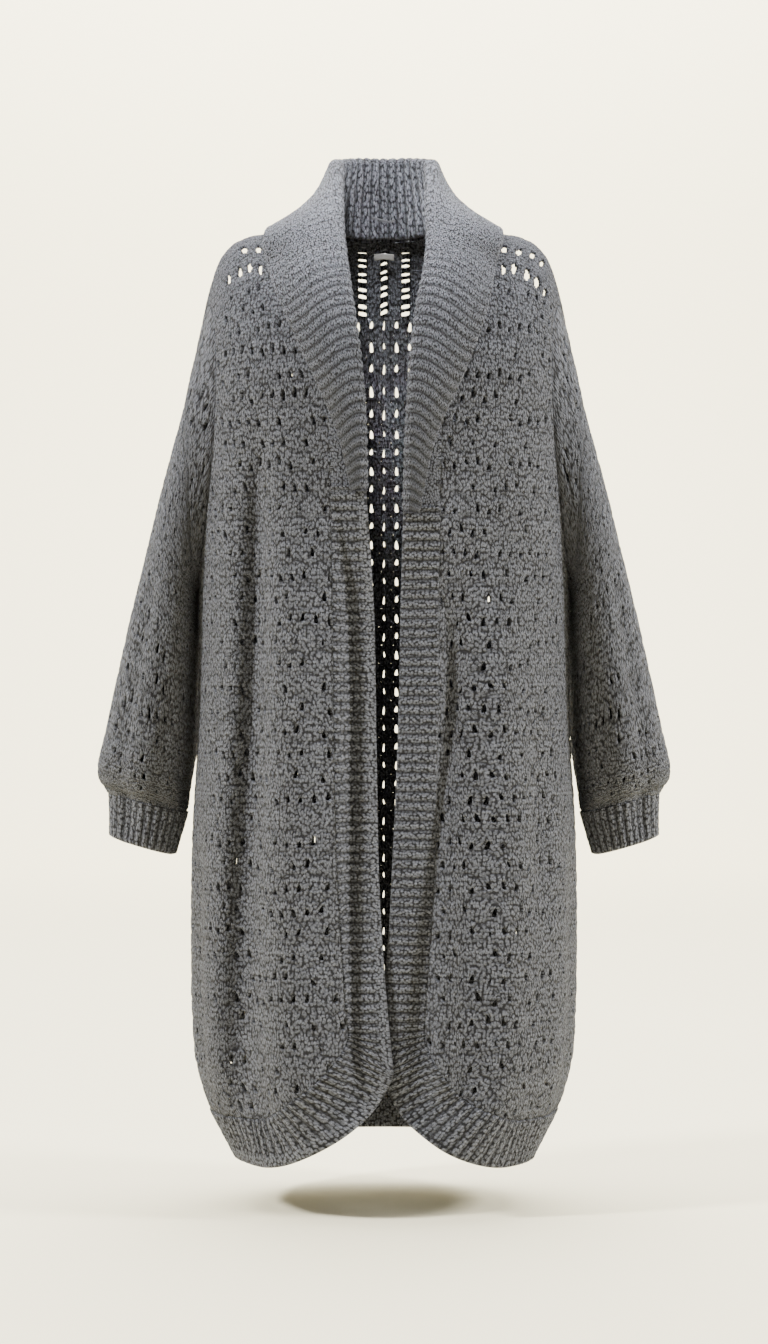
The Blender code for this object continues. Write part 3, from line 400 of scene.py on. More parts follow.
def sleeve(side, half, share, ring):
    """A point on the sleeve's cloth: how far round its half from the outer side to the inner, and the ring."""
    run = np.interp(share, SHARES, ARMHOLE_RUNS)
    edge = armhole_point(side, half, run)
    table = np.array(SLEEVE_RINGS)
    middle = np.array([side * (table[0, 0] + table[0, 2]) / 2, 0, (table[0, 1] + table[0, 3]) / 2])
    rings = [edge + unit(middle - edge) * SLEEVE_SEAM]
    angle = math.pi * share
    full = (np.abs(np.cos(angle)) ** SLEEVE_FULLNESS + np.abs(np.sin(angle)) ** SLEEVE_FULLNESS) ** (
        -1 / SLEEVE_FULLNESS
    )
    for number, (out_x, out_z, in_x, in_z, depth, centre_y) in enumerate(table[1:], 1):
        centre = np.array([side * (out_x + in_x) / 2, centre_y, (out_z + in_z) / 2])
        outward = np.array([side * (out_x - in_x) / 2, 0, (out_z - in_z) / 2])
        backward = np.array([0, HALVES[half] * depth, 0])
        points = centre + (np.cos(angle) * full)[:, None] * outward + (np.sin(angle) * full)[:, None] * backward
        # The inner side lies along the body, which narrows towards its front and back.
        wide, front, back = body_size(points[:, 2])
        body_depth = np.where(points[:, 1] < 0, front, back)
        share_y = np.clip(np.abs(points[:, 1]) / body_depth, 0, 0.95)
        narrower = wide * (1 - (1 - share_y**FRONT_FULLNESS) ** (1 / FRONT_FULLNESS))
        hug = narrower * ease(0.45, 0.85, share) * (1 - ease(8.5, 11.5, number))
        points = points - unit(outward) * hug[:, None]
        rings.append(points)
    points = through(np.array(rings), ring)
    out_x, out_z, in_x, in_z, _, centre_y = [np.interp(ring, range(len(table)), column) for column in table.T]
    centre = np.stack([side * (out_x + in_x) / 2, centre_y, (out_z + in_z) / 2], axis=-1)
    degrees = np.degrees(angle) * -HALVES[half]
    return points + unit(points - centre) * sleeve_fold(degrees, ring)[:, None]


def sleeve_normal(side, half, share, ring):
    """The outward direction of the sleeve's cloth, which turns with the body's cloth at the armhole."""
    step = 0.03
    around_low = np.maximum(share - step, 0)
    around_high = np.minimum(share + step, 1)
    around = sleeve(side, half, around_high, ring) - sleeve(side, half, around_low, ring)
    low = np.maximum(ring, 0.05)
    along = sleeve(side, half, share, low + 0.05) - sleeve(side, half, share, low - 0.05)
    # At the outer and inner side the halves meet, so both read one direction there.
    around[:, [0, 2]] *= np.clip(np.minimum(share, 1 - share) / 0.04, 0, 1)[:, None]
    normal = unit(np.cross(along, around)) * side * -HALVES[half] * -1
    run = np.interp(share, SHARES, ARMHOLE_RUNS)
    body_angle = armhole_angle(run)
    if HALVES[half] > 0:
        body_angle = math.pi - body_angle
    table = SLEEVE_RINGS[0]
    middle = np.array([side * (table[0] + table[2]) / 2, 0, (table[1] + table[3]) / 2])
    away = unit(armhole_point(side, half, run) - middle)
    turned = ease(0.55, 1.0, share)[:, None]
    start = unit(body_normal(side * body_angle, run) * (1 - turned) + away * turned)
    mix = np.clip(1 - ring / 0.7, 0, 1)[:, None]
    return unit(normal * (1 - mix) + start * mix)


def round_sleeve(side, around, ring):
    """The same sleeve read all the way round: 0 at the outer side, 1 at the inner side and 2 back at the outer."""
    around = around % 2
    front = sleeve(side, "front", np.minimum(around, 1), ring)
    back = sleeve(side, "back", np.minimum(2 - around, 1), ring)
    return np.where((around <= 1)[:, None], front, back)


# How the collar is read along the neckline.
STAND_END = 0.22
FALL_START = 0.38
BAND_SHARES = (0.62, 0.83)
RIB_LEVEL = -0.875
FAN_START = 0.58
TUCK = 0.010

# Sizes of the work: one cell of the grids, the shells of the crochet and the net of the back.
CELL = (0.0026, 0.0027)
SHELL = (10, 9)
NET = (6, 8)
RIB_LINE = 6
ARCH_DROP = 0.34
ARCH_LINE = 0.0013


# The main creases of the fronts, from the top: height, place across, depth and half width.
CREASES = (
    (
        (-0.200, -0.134, 0.000, 0.010),
        (-0.308, -0.138, 0.011, 0.011),
        (-0.524, -0.145, 0.018, 0.013),
        (-0.740, -0.155, 0.022, 0.018),
        (-0.902, -0.159, 0.022, 0.020),
        (-1.000, -0.160, 0.010, 0.020),
    ),
    (
        (-0.290, -0.052, 0.000, 0.008),
        (-0.400, -0.040, 0.012, 0.0085),
        (-0.524, -0.036, 0.016, 0.0090),
        (-0.740, -0.037, 0.017, 0.0095),
        (-0.902, -0.034, 0.014, 0.0095),
        (-0.970, -0.030, 0.000, 0.0090),
    ),
    (
        (-0.340, 0.062, 0.000, 0.010),
        (-0.450, 0.068, 0.010, 0.010),
        (-0.524, 0.070, 0.018, 0.011),
        (-0.740, 0.053, 0.021, 0.013),
        (-0.902, 0.042, 0.020, 0.018),
        (-0.980, 0.040, 0.006, 0.016),
    ),
)


def creased(points):
    """Press the main creases into places on the fronts."""
    depth = np.zeros(len(points))
    for crease in CREASES:
        z, x, deep, wide = np.array(crease)[::-1].T
        there = [np.interp(points[:, 2], z, values) for values in (x, deep, wide)]
        depth += there[1] * np.exp(-(((points[:, 0] - there[0]) / there[2]) ** 2))
    points = points.copy()
    points[:, 1] += np.where(points[:, 1] < 0, depth, 0)
    return points


def seam_line(side, share):
    """Where a front band is sewn to its panel, as angle and run: down the front, round the corner, to the side."""
    straight, bend = BAND_SHARES
    turn = np.clip((share - straight) / (bend - straight), 0, 1)
    along = np.clip((share - bend) / (1 - bend), 0, 1)
    x, z = corner(side, turn, True)
    top, start = BREAK_RUN[side] - TUCK, run_of(SEAM_CORNER_START)
    run = np.where(share < straight, top + (start - top) * share / straight, run_of(z))
    z = height_of(run)
    angle = front_angle(np.where(share < straight, edge_x(side, z, True), x), z)
    return np.where(share > bend, angle + (side * math.pi / 2 - angle) * along, angle), run


def edge_line(side, share):
    """The free edge of a front band, read as its seam is."""
    straight, bend = BAND_SHARES
    turn = np.clip((share - straight) / (bend - straight), 0, 1)
    along = np.clip((share - bend) / (1 - bend), 0, 1)
    x, z = corner(side, turn, False)
    top, start = BREAK_RUN[side] - TUCK, run_of(CORNER_START)
    run = np.where(share < straight, top + (start - top) * share / straight, run_of(z))
    z = height_of(run)
    angle = front_angle(np.where(share < straight, edge_x(side, z, False), x), z)
    return np.where(share > bend, angle + (side * math.pi / 2 - angle) * along, angle), run


def even(side, share, start_z):
    """Share of a band's line for a share of its ribs: level ribs down to RIB_LEVEL, which fan round the corner."""
    straight, bend = BAND_SHARES
    top = BREAK_RUN[side] - TUCK
    level = (run_of(RIB_LEVEL) - top) / (run_of(start_z) - top) * straight
    return np.interp(share, [0, FAN_START, bend, 1], [0, level, bend, 1])


def band_surface(side, share, across):
    angle, run = seam_line(side, even(side, share, SEAM_CORNER_START))
    seam, seam_normal = body(angle, run, side), body_normal(angle, run, side)
    angle, run = edge_line(side, even(side, share, CORNER_START))
    free, free_normal = body(angle, run, side), body_normal(angle, run, side)
    t = across[:, None]
    return creased(seam + (free - seam) * t), unit(seam_normal * (1 - t) + free_normal * t)


def hem_surface(share, across):
    angle = math.pi / 2 + math.pi * share
    run = HEM_RUN - HEM_LIFT * (1 - np.cos(angle)) + 0 * angle
    seam, seam_normal = body(angle, HEM_SEAM_RUN + 0 * angle), body_normal(angle, HEM_SEAM_RUN + 0 * angle)
    free, free_normal = body(angle, run), body_normal(angle, run)
    t = across[:, None]
    return seam + (free - seam) * t, unit(seam_normal * (1 - t) + free_normal * t)


def neckline():
    """The edge that the collar is sewn to, from break to break: distance from the nape, place and way in."""

    def front(side):
        runs = np.append(np.arange(0, BREAK_RUN[side] - 0.004, 0.008), BREAK_RUN[side])
        z = height_of(runs)
        angle = front_angle(edge_x(side, z, True), z)
        places = body(angle, runs, side)
        return places, unit(body(angle - side * 0.02, runs, side) - places)

    u = np.linspace(-NECK_SHARE, NECK_SHARE, 41)
    run = np.maximum(back_start(u), 0.0014)
    angle = math.pi - u * (math.pi / 2 - ARMHOLE_TOP)
    back = body(angle, run)
    back_in = unit(back - body(angle, run + 0.004))
    left, left_in = front(LEFT)
    right, right_in = front(RIGHT)
    points = np.concatenate([left[::-1], back, right])
    inward = np.concatenate([left_in[::-1], back_in, right_in])
    lengths = np.concatenate([[0], np.cumsum(np.linalg.norm(np.diff(points, axis=0), axis=1))])
    nape = len(left) + len(u) // 2
    shoulder = len(left) + len(u)
    return lengths - lengths[nape], points, inward, lengths[shoulder] - lengths[nape]


NECK_SHARE = 0.2744
NECKLINE = neckline()


def run_at_height(z):
    drop = (FRONT_TOP - z) / (FRONT_TOP - CHEST_Z)
    if drop < 1:
        return SHOULDER_RUN * 2 / math.pi * math.acos(1 - drop)
    return run_of(z)


def neck_place(side, run):
    lengths = NECKLINE[0]
    runs = np.append(np.arange(0, BREAK_RUN[side] - 0.004, 0.008), BREAK_RUN[side])
    distances = -lengths[: len(runs)][::-1] if side == LEFT else lengths[-len(runs) :]
    return side * np.interp(run, runs, distances)


def collar_stations():
    """Place along the neckline, fold, free edge, direction that the fold opens, and bulge, from break to break."""
    lengths, _, _, half = NECKLINE
    rows = []
    for side in (LEFT, RIGHT):
        for share, fold_x, fold_y, fold_z, free_x, free_y, free_z, bulge in NAPE:
            if side == LEFT and share == 0:
                continue
            fold = np.array([side * fold_x, fold_y, fold_z])
            free = np.array([side * free_x, free_y, free_z])
            opens = unit(np.array([free[0] - fold[0], free[1] - fold[1], 0.0]))
            rows.append((side * share * half, fold, free, opens, bulge))
        for z, fold_x, free_x in LAPELS[side]:
            run = run_at_height(z)
            place = np.clip(neck_place(side, run), lengths[0], lengths[-1])
            angles = np.array([front_angle(fold_x, z), front_angle(free_x, z)])
            normal = body_normal(angles, np.array([run, run]), side)
            on_body = body(angles, np.array([run, run]), side)
            wide = abs(free_x - fold_x) / 0.07
            rows.append((place, on_body[0], on_body[1] + normal[1] * LAPEL_LIFT, normal[0], LAPEL_BULGE * wide))
    rows.sort(key=lambda row: row[0])
    return [np.array([row[k] for row in rows]) for k in range(5)]


STATIONS = collar_stations()
LAPEL_SLIDE = 0.024


def collar_surface(place, across):
    """The plain side of the collar's cloth: from its seam, over the fold, to its free edge."""
    lengths, points, inward, _ = NECKLINE
    keys, folds_at, free_at, opens_at, bulges = STATIONS
    fold = smooth(keys, folds_at, place)
    free = smooth(keys, free_at, place)
    opens = unit(smooth(keys, opens_at, place))
    bulge = smooth(keys, bulges, place)
    seam = np.stack([np.interp(place, lengths, points[:, k]) for k in range(3)], axis=-1)
    into = unit(np.stack([np.interp(place, lengths, inward[:, k]) for k in range(3)], axis=-1))
    seam = seam + into * SEAM
    stand = unit(fold - seam)
    opens = unit(opens - stand * np.sum(opens * stand, axis=-1, keepdims=True))
    outer_fold = fold + opens * ROLL
    t = np.clip(across / STAND_END, 0, 1)[:, None]
    rising = seam + (fold - seam) * t
    t = np.clip((across - STAND_END) / (FALL_START - STAND_END), 0, 1)[:, None]
    reach = ROLL * 0.62
    rolling = (
        fold * (1 - t) ** 3
        + 3 * (fold + stand * reach) * t * (1 - t) ** 2
        + 3 * (outer_fold + stand * reach) * t**2 * (1 - t)
        + outer_fold * t**3
    )
    t = np.clip((across - FALL_START) / (1 - FALL_START), 0, 1)[:, None]
    falling = outer_fold + (free - outer_fold) * t + opens * bulge[:, None] * np.sin(math.pi * t)
    flat = np.where((across < STAND_END)[:, None], rising, rolling)
    return np.where((across > FALL_START)[:, None], falling, flat)


def collar_laid(share, across):
    start, end = NECKLINE[0][0], NECKLINE[0][-1]
    place = start + (end - start) * share
    reach = np.abs(place) / np.where(place < 0, -start, end)
    slide = LAPEL_SLIDE * ease(FALL_START, 1.0, across) * np.sin(math.pi * np.clip(reach, 0, 1)) ** 0.7
    place = np.clip(place + np.sign(place) * slide, start, end)
    base = collar_surface(place, across)
    along = collar_surface(np.minimum(place + 0.012, end), across) - collar_surface(
        np.maximum(place - 0.012, start), across
    )
    over = collar_surface(place, np.minimum(across + 0.03, 1)) - collar_surface(place, np.maximum(across - 0.03, 0))
    normal = unit(np.cross(along, over))
    return base + normal * RIB_WALL, normal


# Shader groups


def new_group(name, inputs, outputs):
    group = bpy.data.node_groups.new(name, "ShaderNodeTree")
    for label, kind in inputs:
        group.interface.new_socket(name=label, in_out="INPUT", socket_type=kind)
    for label, kind in outputs:
        group.interface.new_socket(name=label, in_out="OUTPUT", socket_type=kind)
    return group, group.nodes.new("NodeGroupInput"), group.nodes.new("NodeGroupOutput")


def calc(tree, operation, *values):
    """A Math node on sockets and numbers."""
    node = tree.nodes.new("ShaderNodeMath")
    node.operation = operation
    for index, value in enumerate(values):
        if isinstance(value, (int, float)):
            node.inputs[index].default_value = value
        else:
            tree.links.new(value, node.inputs[index])
    return node.outputs[0]


def noise(tree, vector, scale, detail, roughness, distortion=0.0):
    node = tree.nodes.new("ShaderNodeTexNoise")
    node.inputs["Scale"].default_value = scale
    node.inputs["Detail"].default_value = detail
    node.inputs["Roughness"].default_value = roughness
    node.inputs["Distortion"].default_value = distortion
    tree.links.new(vector, node.inputs["Vector"])
    return node.outputs["Fac"]


def between(tree, value, low, high):
    node = tree.nodes.new("ShaderNodeMapRange")
    node.inputs["From Min"].default_value = low
    node.inputs["From Max"].default_value = high
    node.clamp = True
    tree.links.new(value, node.inputs["Value"])
    return node.outputs["Result"]


def marled_yarn():
    """Light and dark fibres spun together: a shade from 0 to 1 and the height of the fibres."""
    group, given, out = new_group("Marled yarn", [("Cloth", "NodeSocketVector")], [("Shade", "NodeSocketFloat"), ("Fibre", "NodeSocketFloat")])
    cloth = given.outputs["Cloth"]
    flecks = between(group, noise(group, cloth, 400, 2, 0.6, 0.5), 0.42, 0.64)
    fine = between(group, noise(group, cloth, 1100, 2, 0.7), 0.3, 0.7)
    broad = noise(group, cloth, 40, 2, 0.5)
    shade = calc(group, "ADD", calc(group, "MULTIPLY", flecks, 0.42), calc(group, "MULTIPLY", fine, 0.30))
    shade = calc(group, "ADD", shade, 0.24)
    shade = calc(group, "ADD", shade, calc(group, "MULTIPLY", calc(group, "SUBTRACT", broad, 0.5), 0.3))
    group.links.new(shade, out.inputs["Shade"])
    group.links.new(calc(group, "ADD", calc(group, "MULTIPLY", flecks, 0.5), calc(group, "MULTIPLY", fine, 0.5)), out.inputs["Fibre"])
    return group


def yarn_loops(tree, cloth, scale, stretch):
    """Distance from the middle of the nearest loop of yarn, in loops."""
    longer = tree.nodes.new("ShaderNodeVectorMath")
    longer.operation = "MULTIPLY"
    longer.inputs[1].default_value = stretch
    tree.links.new(cloth, longer.inputs[0])
    loops = tree.nodes.new("ShaderNodeTexVoronoi")
    loops.voronoi_dimensions = "2D"
    loops.inputs["Scale"].default_value = scale
    loops.inputs["Randomness"].default_value = 0.85
    tree.links.new(longer.outputs[0], loops.inputs["Vector"])
    return loops.outputs["Distance"]


def crochet_stitches():
    """Shells of long stitches that fan out of one point, offset from row to row, with painted shade darkening the
    crevices between loops and the grooves under the arches.
    """
    group, given, out = new_group("Crochet stitches", [("Cloth", "NodeSocketVector")], [("Height", "NodeSocketFloat"), ("Crevice shade", "NodeSocketFloat")])
    wide, high = SHELL[0] * CELL[0], SHELL[1] * CELL[1]
    parts = group.nodes.new("ShaderNodeSeparateXYZ")
    group.links.new(given.outputs["Cloth"], parts.inputs[0])
    across, down = parts.outputs[0], parts.outputs[1]
    row = calc(group, "FLOOR", calc(group, "DIVIDE", down, high))
    offset = calc(group, "MULTIPLY", calc(group, "FLOORED_MODULO", row, 2.0), 0.5)
    a = calc(group, "SUBTRACT", calc(group, "FRACT", calc(group, "ADD", calc(group, "DIVIDE", across, wide), offset)), 0.5)
    b = calc(group, "FRACT", calc(group, "DIVIDE", down, high))
    wander = calc(group, "MULTIPLY", calc(group, "SUBTRACT", noise(group, given.outputs["Cloth"], 120, 2, 0.5), 0.5), 5.0)
    shape = calc(group, "MULTIPLY", calc(group, "MULTIPLY", a, a), ARCH_DROP * 4)
    uneven = calc(group, "MULTIPLY", calc(group, "SUBTRACT", noise(group, given.outputs["Cloth"], 55, 1, 0.5), 0.5), 0.22)
    gap = calc(group, "MULTIPLY", calc(group, "SUBTRACT", calc(group, "SUBTRACT", b, shape), calc(group, "ADD", uneven, 0.06)), high / ARCH_LINE)
    arch = calc(group, "EXPONENT", calc(group, "MULTIPLY", calc(group, "MULTIPLY", gap, gap), -1.0))
    arch = calc(group, "MULTIPLY", arch, between(group, noise(group, given.outputs["Cloth"], 70, 1, 0.5), 0.44, 0.62))
    theta = calc(group, "ARCTAN2", calc(group, "MULTIPLY", a, wide), calc(group, "MULTIPLY", calc(group, "SUBTRACT", 1.25, b), high))
    posts = calc(group, "COSINE", calc(group, "ADD", calc(group, "MULTIPLY", theta, 58.0), wander))
    rise = calc(group, "SINE", calc(group, "ADD", calc(group, "MULTIPLY", down, 2 * math.pi / (high / 4)), wander))
    height = calc(group, "ADD", calc(group, "MULTIPLY", posts, 0.10), calc(group, "MULTIPLY", rise, 0.06))
    height = calc(group, "SUBTRACT", height, yarn_loops(group, given.outputs["Cloth"], 300, (1.15, 0.80, 1)))
    # Painted shade: the colour goes dark in the crevices between the loops and along the arch grooves.
    loop_shade = between(group, height, -0.60, -0.32)
    group.links.new(calc(group, "SUBTRACT", height, calc(group, "MULTIPLY", arch, 0.8)), out.inputs["Height"])
    arch_shade = calc(group, "SUBTRACT", 1.0, calc(group, "MULTIPLY", arch, 0.9))
    group.links.new(calc(group, "MULTIPLY", loop_shade, arch_shade), out.inputs["Crevice shade"])
    return group


def rib_stitches():
    """Small loops along each rib, with painted shade in the crevices between them; the ribs themselves are in the mesh.
    """
    group, given, out = new_group("Rib stitches", [("Cloth", "NodeSocketVector")], [("Height", "NodeSocketFloat"), ("Crevice shade", "NodeSocketFloat")])
    height = calc(group, "MULTIPLY", yarn_loops(group, given.outputs["Cloth"], 300, (1.0, 0.85, 1)), -1.0)
    group.links.new(height, out.inputs["Height"])
    # Painted shade: the colour goes dark in the crevices between the loops.
    group.links.new(between(group, height, -0.62, -0.32), out.inputs["Crevice shade"])
    return group


YARN = marled_yarn()
DARK_FIBRE = (0.006, 0.006, 0.008, 1)
LIGHT_FIBRE = (0.210, 0.222, 0.264, 1)


def wool(name, stitches, depth):
    material = bpy.data.materials.new(name)
    material.use_nodes = True
    tree = material.node_tree
    shader = tree.nodes["Principled BSDF"]
    shader.inputs["Roughness"].default_value = 0.92
    shader.inputs["Specular IOR Level"].default_value = 0.12
    shader.inputs["Sheen Weight"].default_value = 0.10
    shader.inputs["Sheen Roughness"].default_value = 0.55
    cloth = tree.nodes.new("ShaderNodeUVMap")
    cloth.uv_map = "Cloth"
    yarn = tree.nodes.new("ShaderNodeGroup")
    yarn.node_tree = YARN
    stitch = tree.nodes.new("ShaderNodeGroup")
    stitch.node_tree = stitches
    # Painted shade: the groove attribute of the mesh darkens the yarn's colour in the grooves.
    hollow = tree.nodes.new("ShaderNodeAttribute")
    hollow.attribute_name = "Painted groove shade"
    for node in (yarn, stitch):
        tree.links.new(cloth.outputs["UV"], node.inputs["Cloth"])
    # Painted shade: the crevices between stitches go nearly black in colour.
    shade = calc(tree, "MULTIPLY", yarn.outputs["Shade"], calc(tree, "ADD", calc(tree, "MULTIPLY", stitch.outputs["Crevice shade"], 0.96), 0.04))
    groove_shade = between(tree, hollow.outputs["Fac"], -1.0, 0.4)
    shade = calc(tree, "MULTIPLY", shade, calc(tree, "ADD", calc(tree, "MULTIPLY", groove_shade, 0.85), 0.15))
    colour = tree.nodes.new("ShaderNodeMix")
    colour.data_type = "RGBA"
    colour.inputs[6].default_value = DARK_FIBRE
    colour.inputs[7].default_value = LIGHT_FIBRE
    tree.links.new(shade, colour.inputs[0])
    tree.links.new(colour.outputs[2], shader.inputs["Base Color"])
    bump = tree.nodes.new("ShaderNodeBump")
    bump.inputs["Distance"].default_value = depth
    bump.inputs["Strength"].default_value = 0.9
    height = calc(tree, "ADD", stitch.outputs["Height"], calc(tree, "MULTIPLY", yarn.outputs["Fibre"], 0.45))
    tree.links.new(height, bump.inputs["Height"])
    tree.links.new(bump.outputs["Normal"], shader.inputs["Normal"])
    return material


CROCHET = wool("Grey marled crochet", crochet_stitches(), 0.0022)
RIBBING = wool("Grey marled ribbing", rib_stitches(), 0.0020)


# Cloth pieces


def start_grid(name, wide, high):
    """A plain grid of wide by high cells, and the column and row of each of its corners."""
    bpy.ops.object.select_all(action="DESELECT")
    bpy.ops.mesh.primitive_grid_add(x_subdivisions=wide, y_subdivisions=high, size=1)
    piece = bpy.context.object
    piece.name = name
    piece.data.name = name
    flat = np.empty(len(piece.data.vertices) * 3, np.float32)
    piece.data.vertices.foreach_get("co", flat)
    flat = flat.reshape(-1, 3)
    column = np.rint((flat[:, 0] + 0.5) * wide).astype(int)
    row = np.rint((flat[:, 1] + 0.5) * high).astype(int)
    return piece, column, row


def lay_grid(piece, points, cloth, groove_shade, cut=None, welded=1e-5):
    """Put the grid's corners in place, write its cloth coordinates and its painted groove shade, and cut out the cells
    marked in cut.
    """
    mesh = piece.data
    mesh.vertices.foreach_set("co", points.astype(np.float32).ravel())
    corners = np.empty(len(mesh.loops), np.int32)
    mesh.loops.foreach_get("vertex_index", corners)
    uv = mesh.uv_layers[0]
    uv.name = "Cloth"
    uv.data.foreach_set("uv", cloth[corners].astype(np.float32).ravel())
    # Painted shade for the grooves, stored on each corner for the material.
    shade = mesh.attributes.new("Painted groove shade", "FLOAT", "POINT")
    shade.data.foreach_set("value", groove_shade.astype(np.float32))
    mesh.update()
    bpy.ops.object.select_all(action="DESELECT")
    piece.select_set(True)
    bpy.context.view_layer.objects.active = piece
    for layer in (mesh.vertices, mesh.edges):
        layer.foreach_set("select", np.zeros(len(layer), bool))
    if cut is None:
        cut = np.zeros(len(mesh.polygons), bool)
    mesh.polygons.foreach_set("select", cut)
    bpy.ops.object.mode_set(mode="EDIT")
    bpy.ops.mesh.select_mode(type="FACE")
    if cut.any():
        bpy.ops.mesh.delete(type="FACE")
    bpy.ops.mesh.select_all(action="SELECT")
    bpy.ops.mesh.remove_doubles(threshold=welded)
    bpy.ops.object.mode_set(mode="OBJECT")


def cell_of_faces(piece, column, row):
    """The column and row of each face of a fresh grid."""
    mesh = piece.data
    corners = np.empty(len(mesh.loops), np.int32)
    mesh.loops.foreach_get("vertex_index", corners)
    corners = corners.reshape(-1, 4)
    return column[corners].min(axis=1), row[corners].min(axis=1)


def face_outwards(piece, outward):
    """Turn the faces round if they look against the given outward directions of the corners."""
    mesh = piece.data
    normals = np.empty(len(mesh.vertices) * 3, np.float32)
    mesh.vertices.foreach_get("normal", normals)
    if np.sum(normals.reshape(-1, 3) * outward) < 0:
        bpy.ops.object.mode_set(mode="EDIT")
        bpy.ops.mesh.select_all(action="SELECT")
        bpy.ops.mesh.flip_normals()
        bpy.ops.object.mode_set(mode="OBJECT")


def finish_panel(piece, material, nodes, thickness=0.0032):
    """Give the edges of the cloth and of its eyelets their thickness, and hide the solids that the piece covers."""
    if thickness:
        rim = piece.modifiers.new("Edge", "SOLIDIFY")
        rim.thickness = thickness
        rim.offset = -1
        rim.use_rim_only = True
        bpy.ops.object.modifier_apply(modifier=rim.name)
    bpy.ops.object.shade_smooth()
    piece.data.materials.clear()
    piece.data.materials.append(material)
    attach(piece, "root")
    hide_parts(*nodes)
    return piece


def eyelets(wide, high, holes):
    """Cells to cut for the eyelets, each (first column, last, first row, last), and how the corners round them move."""
    cut = np.zeros((high, wide), bool)
    move = np.zeros((high + 1, wide + 1, 2))
    rim = np.zeros((high + 1, wide + 1))
    for left, right, top, bottom, lean, tilt in holes:
        if left < 2 or top < 2 or right > wide - 2 or bottom > high - 2:
            continue
        cut[top:bottom, left:right] = True
        for j in range(top, bottom + 1):
            fall = (j - top) / (bottom - top)
            narrow = 0.5 * (1 - fall) ** 1.3 * (right - left) / 2 if tilt == 0 else 0.0
            narrow += 0.28 if j in (top, bottom) else 0.0
            for i in range(left, right + 1):
                where = 2 * (i - left) / (right - left) - 1
                flat = (0.22 if j == top else -0.22 if j == bottom else 0.0) * abs(where)
                move[j, i] += (-where * narrow + lean * (0.5 - fall), flat + tilt * where)
        rim[top : bottom + 1, left : right + 1] = 1
    return cut, move, rim


def shell_relief_and_shade(s, t):
    """How far the shells of crochet stand out, in metres, and a painted shade for each place, darker the deeper in a
    groove it lies.
    """
    wide, high = SHELL[0] * CELL[0], SHELL[1] * CELL[1]
    row = np.floor(t / high)
    a = (s / wide + 0.5 * (row % 2)) % 1 - 0.5
    b = t / high - row
    arch = ARCH_DROP * (2 * np.abs(a)) ** 2
    groove = np.exp(-(((b - arch) * high / 0.0032) ** 2))
    side = np.exp(-(((np.abs(a) - 0.5) * wide / 0.0030) ** 2)) * ease(0.3, 0.8, b) * 0.5
    deep = np.clip(groove + side, 0, 1)
    return 0.0008 * (1 - deep), -0.35 * deep


def arc_angles():
    """The angle round the front for a distance along its cloth from the side seam, at half height."""
    angle = np.linspace(math.pi / 2, 0, 400)
    z = np.full(400, -0.5)
    half, front, _ = body_size(z)
    full = (np.sin(angle) ** FRONT_FULLNESS + np.cos(angle) ** FRONT_FULLNESS) ** (-1 / FRONT_FULLNESS)
    x, y = half * np.sin(angle) * full, -front * np.cos(angle) * full
    length = np.concatenate([[0], np.cumsum(np.hypot(np.diff(x), np.diff(y)))])
    return length, angle


ARC, ARC_ANGLE = arc_angles()
LOWEST = HEM_SEAM_RUN
DOWN_CELLS = int(round(LOWEST / CELL[1]))
SHOULDER_CELLS = 60
WIDE_ROWS = 35
SLEEVE_CLOSER = 0.0030
SLEEVE_FULLER = 0.0045
CAMERA = (0.0, -3.8, -0.494)
# Where light shows through the shoulders: across, up, width and height, as the camera sees them.
LIT_EYELETS = (
    (-0.158, -0.017, 0.0085, 0.0085),
    (-0.142, -0.016, 0.0085, 0.0085),
    (-0.176, -0.050, 0.0056, 0.0130),
    (-0.163, -0.042, 0.0056, 0.0130),
    (-0.152, -0.037, 0.0056, 0.0130),
    (-0.140, -0.039, 0.0056, 0.0130),
    (0.136, -0.016, 0.0085, 0.0085),
    (0.153, -0.019, 0.0085, 0.0085),
    (0.168, -0.023, 0.0085, 0.0085),
    (0.179, -0.032, 0.0070, 0.0085),
    (0.135, -0.039, 0.0056, 0.0130),
    (0.147, -0.038, 0.0070, 0.0140),
    (0.162, -0.045, 0.0075, 0.0150),
    (0.173, -0.053, 0.0070, 0.0140),
    (0.182, -0.065, 0.0056, 0.0100),
)
SHOWN_NET = 0.052
FRONT_SIGHTS = []


def chance(seed, shape):
    return np.random.default_rng(seed).random(shape)


def shell_holes(wide, high, seed, share, top_row):
    """Eyelets at the foot of each row of shells, two to a shell, some closed by the stitches."""
    luck = chance(seed, (high // SHELL[1] + 2, wide // 5 + 4, 3))
    holes = []
    for row in range(-(-top_row // SHELL[1]), high // SHELL[1] + 1):
        foot = (row + 1) * SHELL[1]
        for k in range(wide // 5 + 2):
            dice, size, way = luck[row, k]
            if dice > share:
                continue
            left = k * 5 + (2 if row % 2 else 0)
            tall = 3 + int(size > 0.55)
            broad = 1 if size < 0.08 else 2
            drop = int(way * 3)
            holes.append((left, left + broad, foot - tall - drop, foot - drop, (way - 0.5) * 1.9, 0))
    return holes


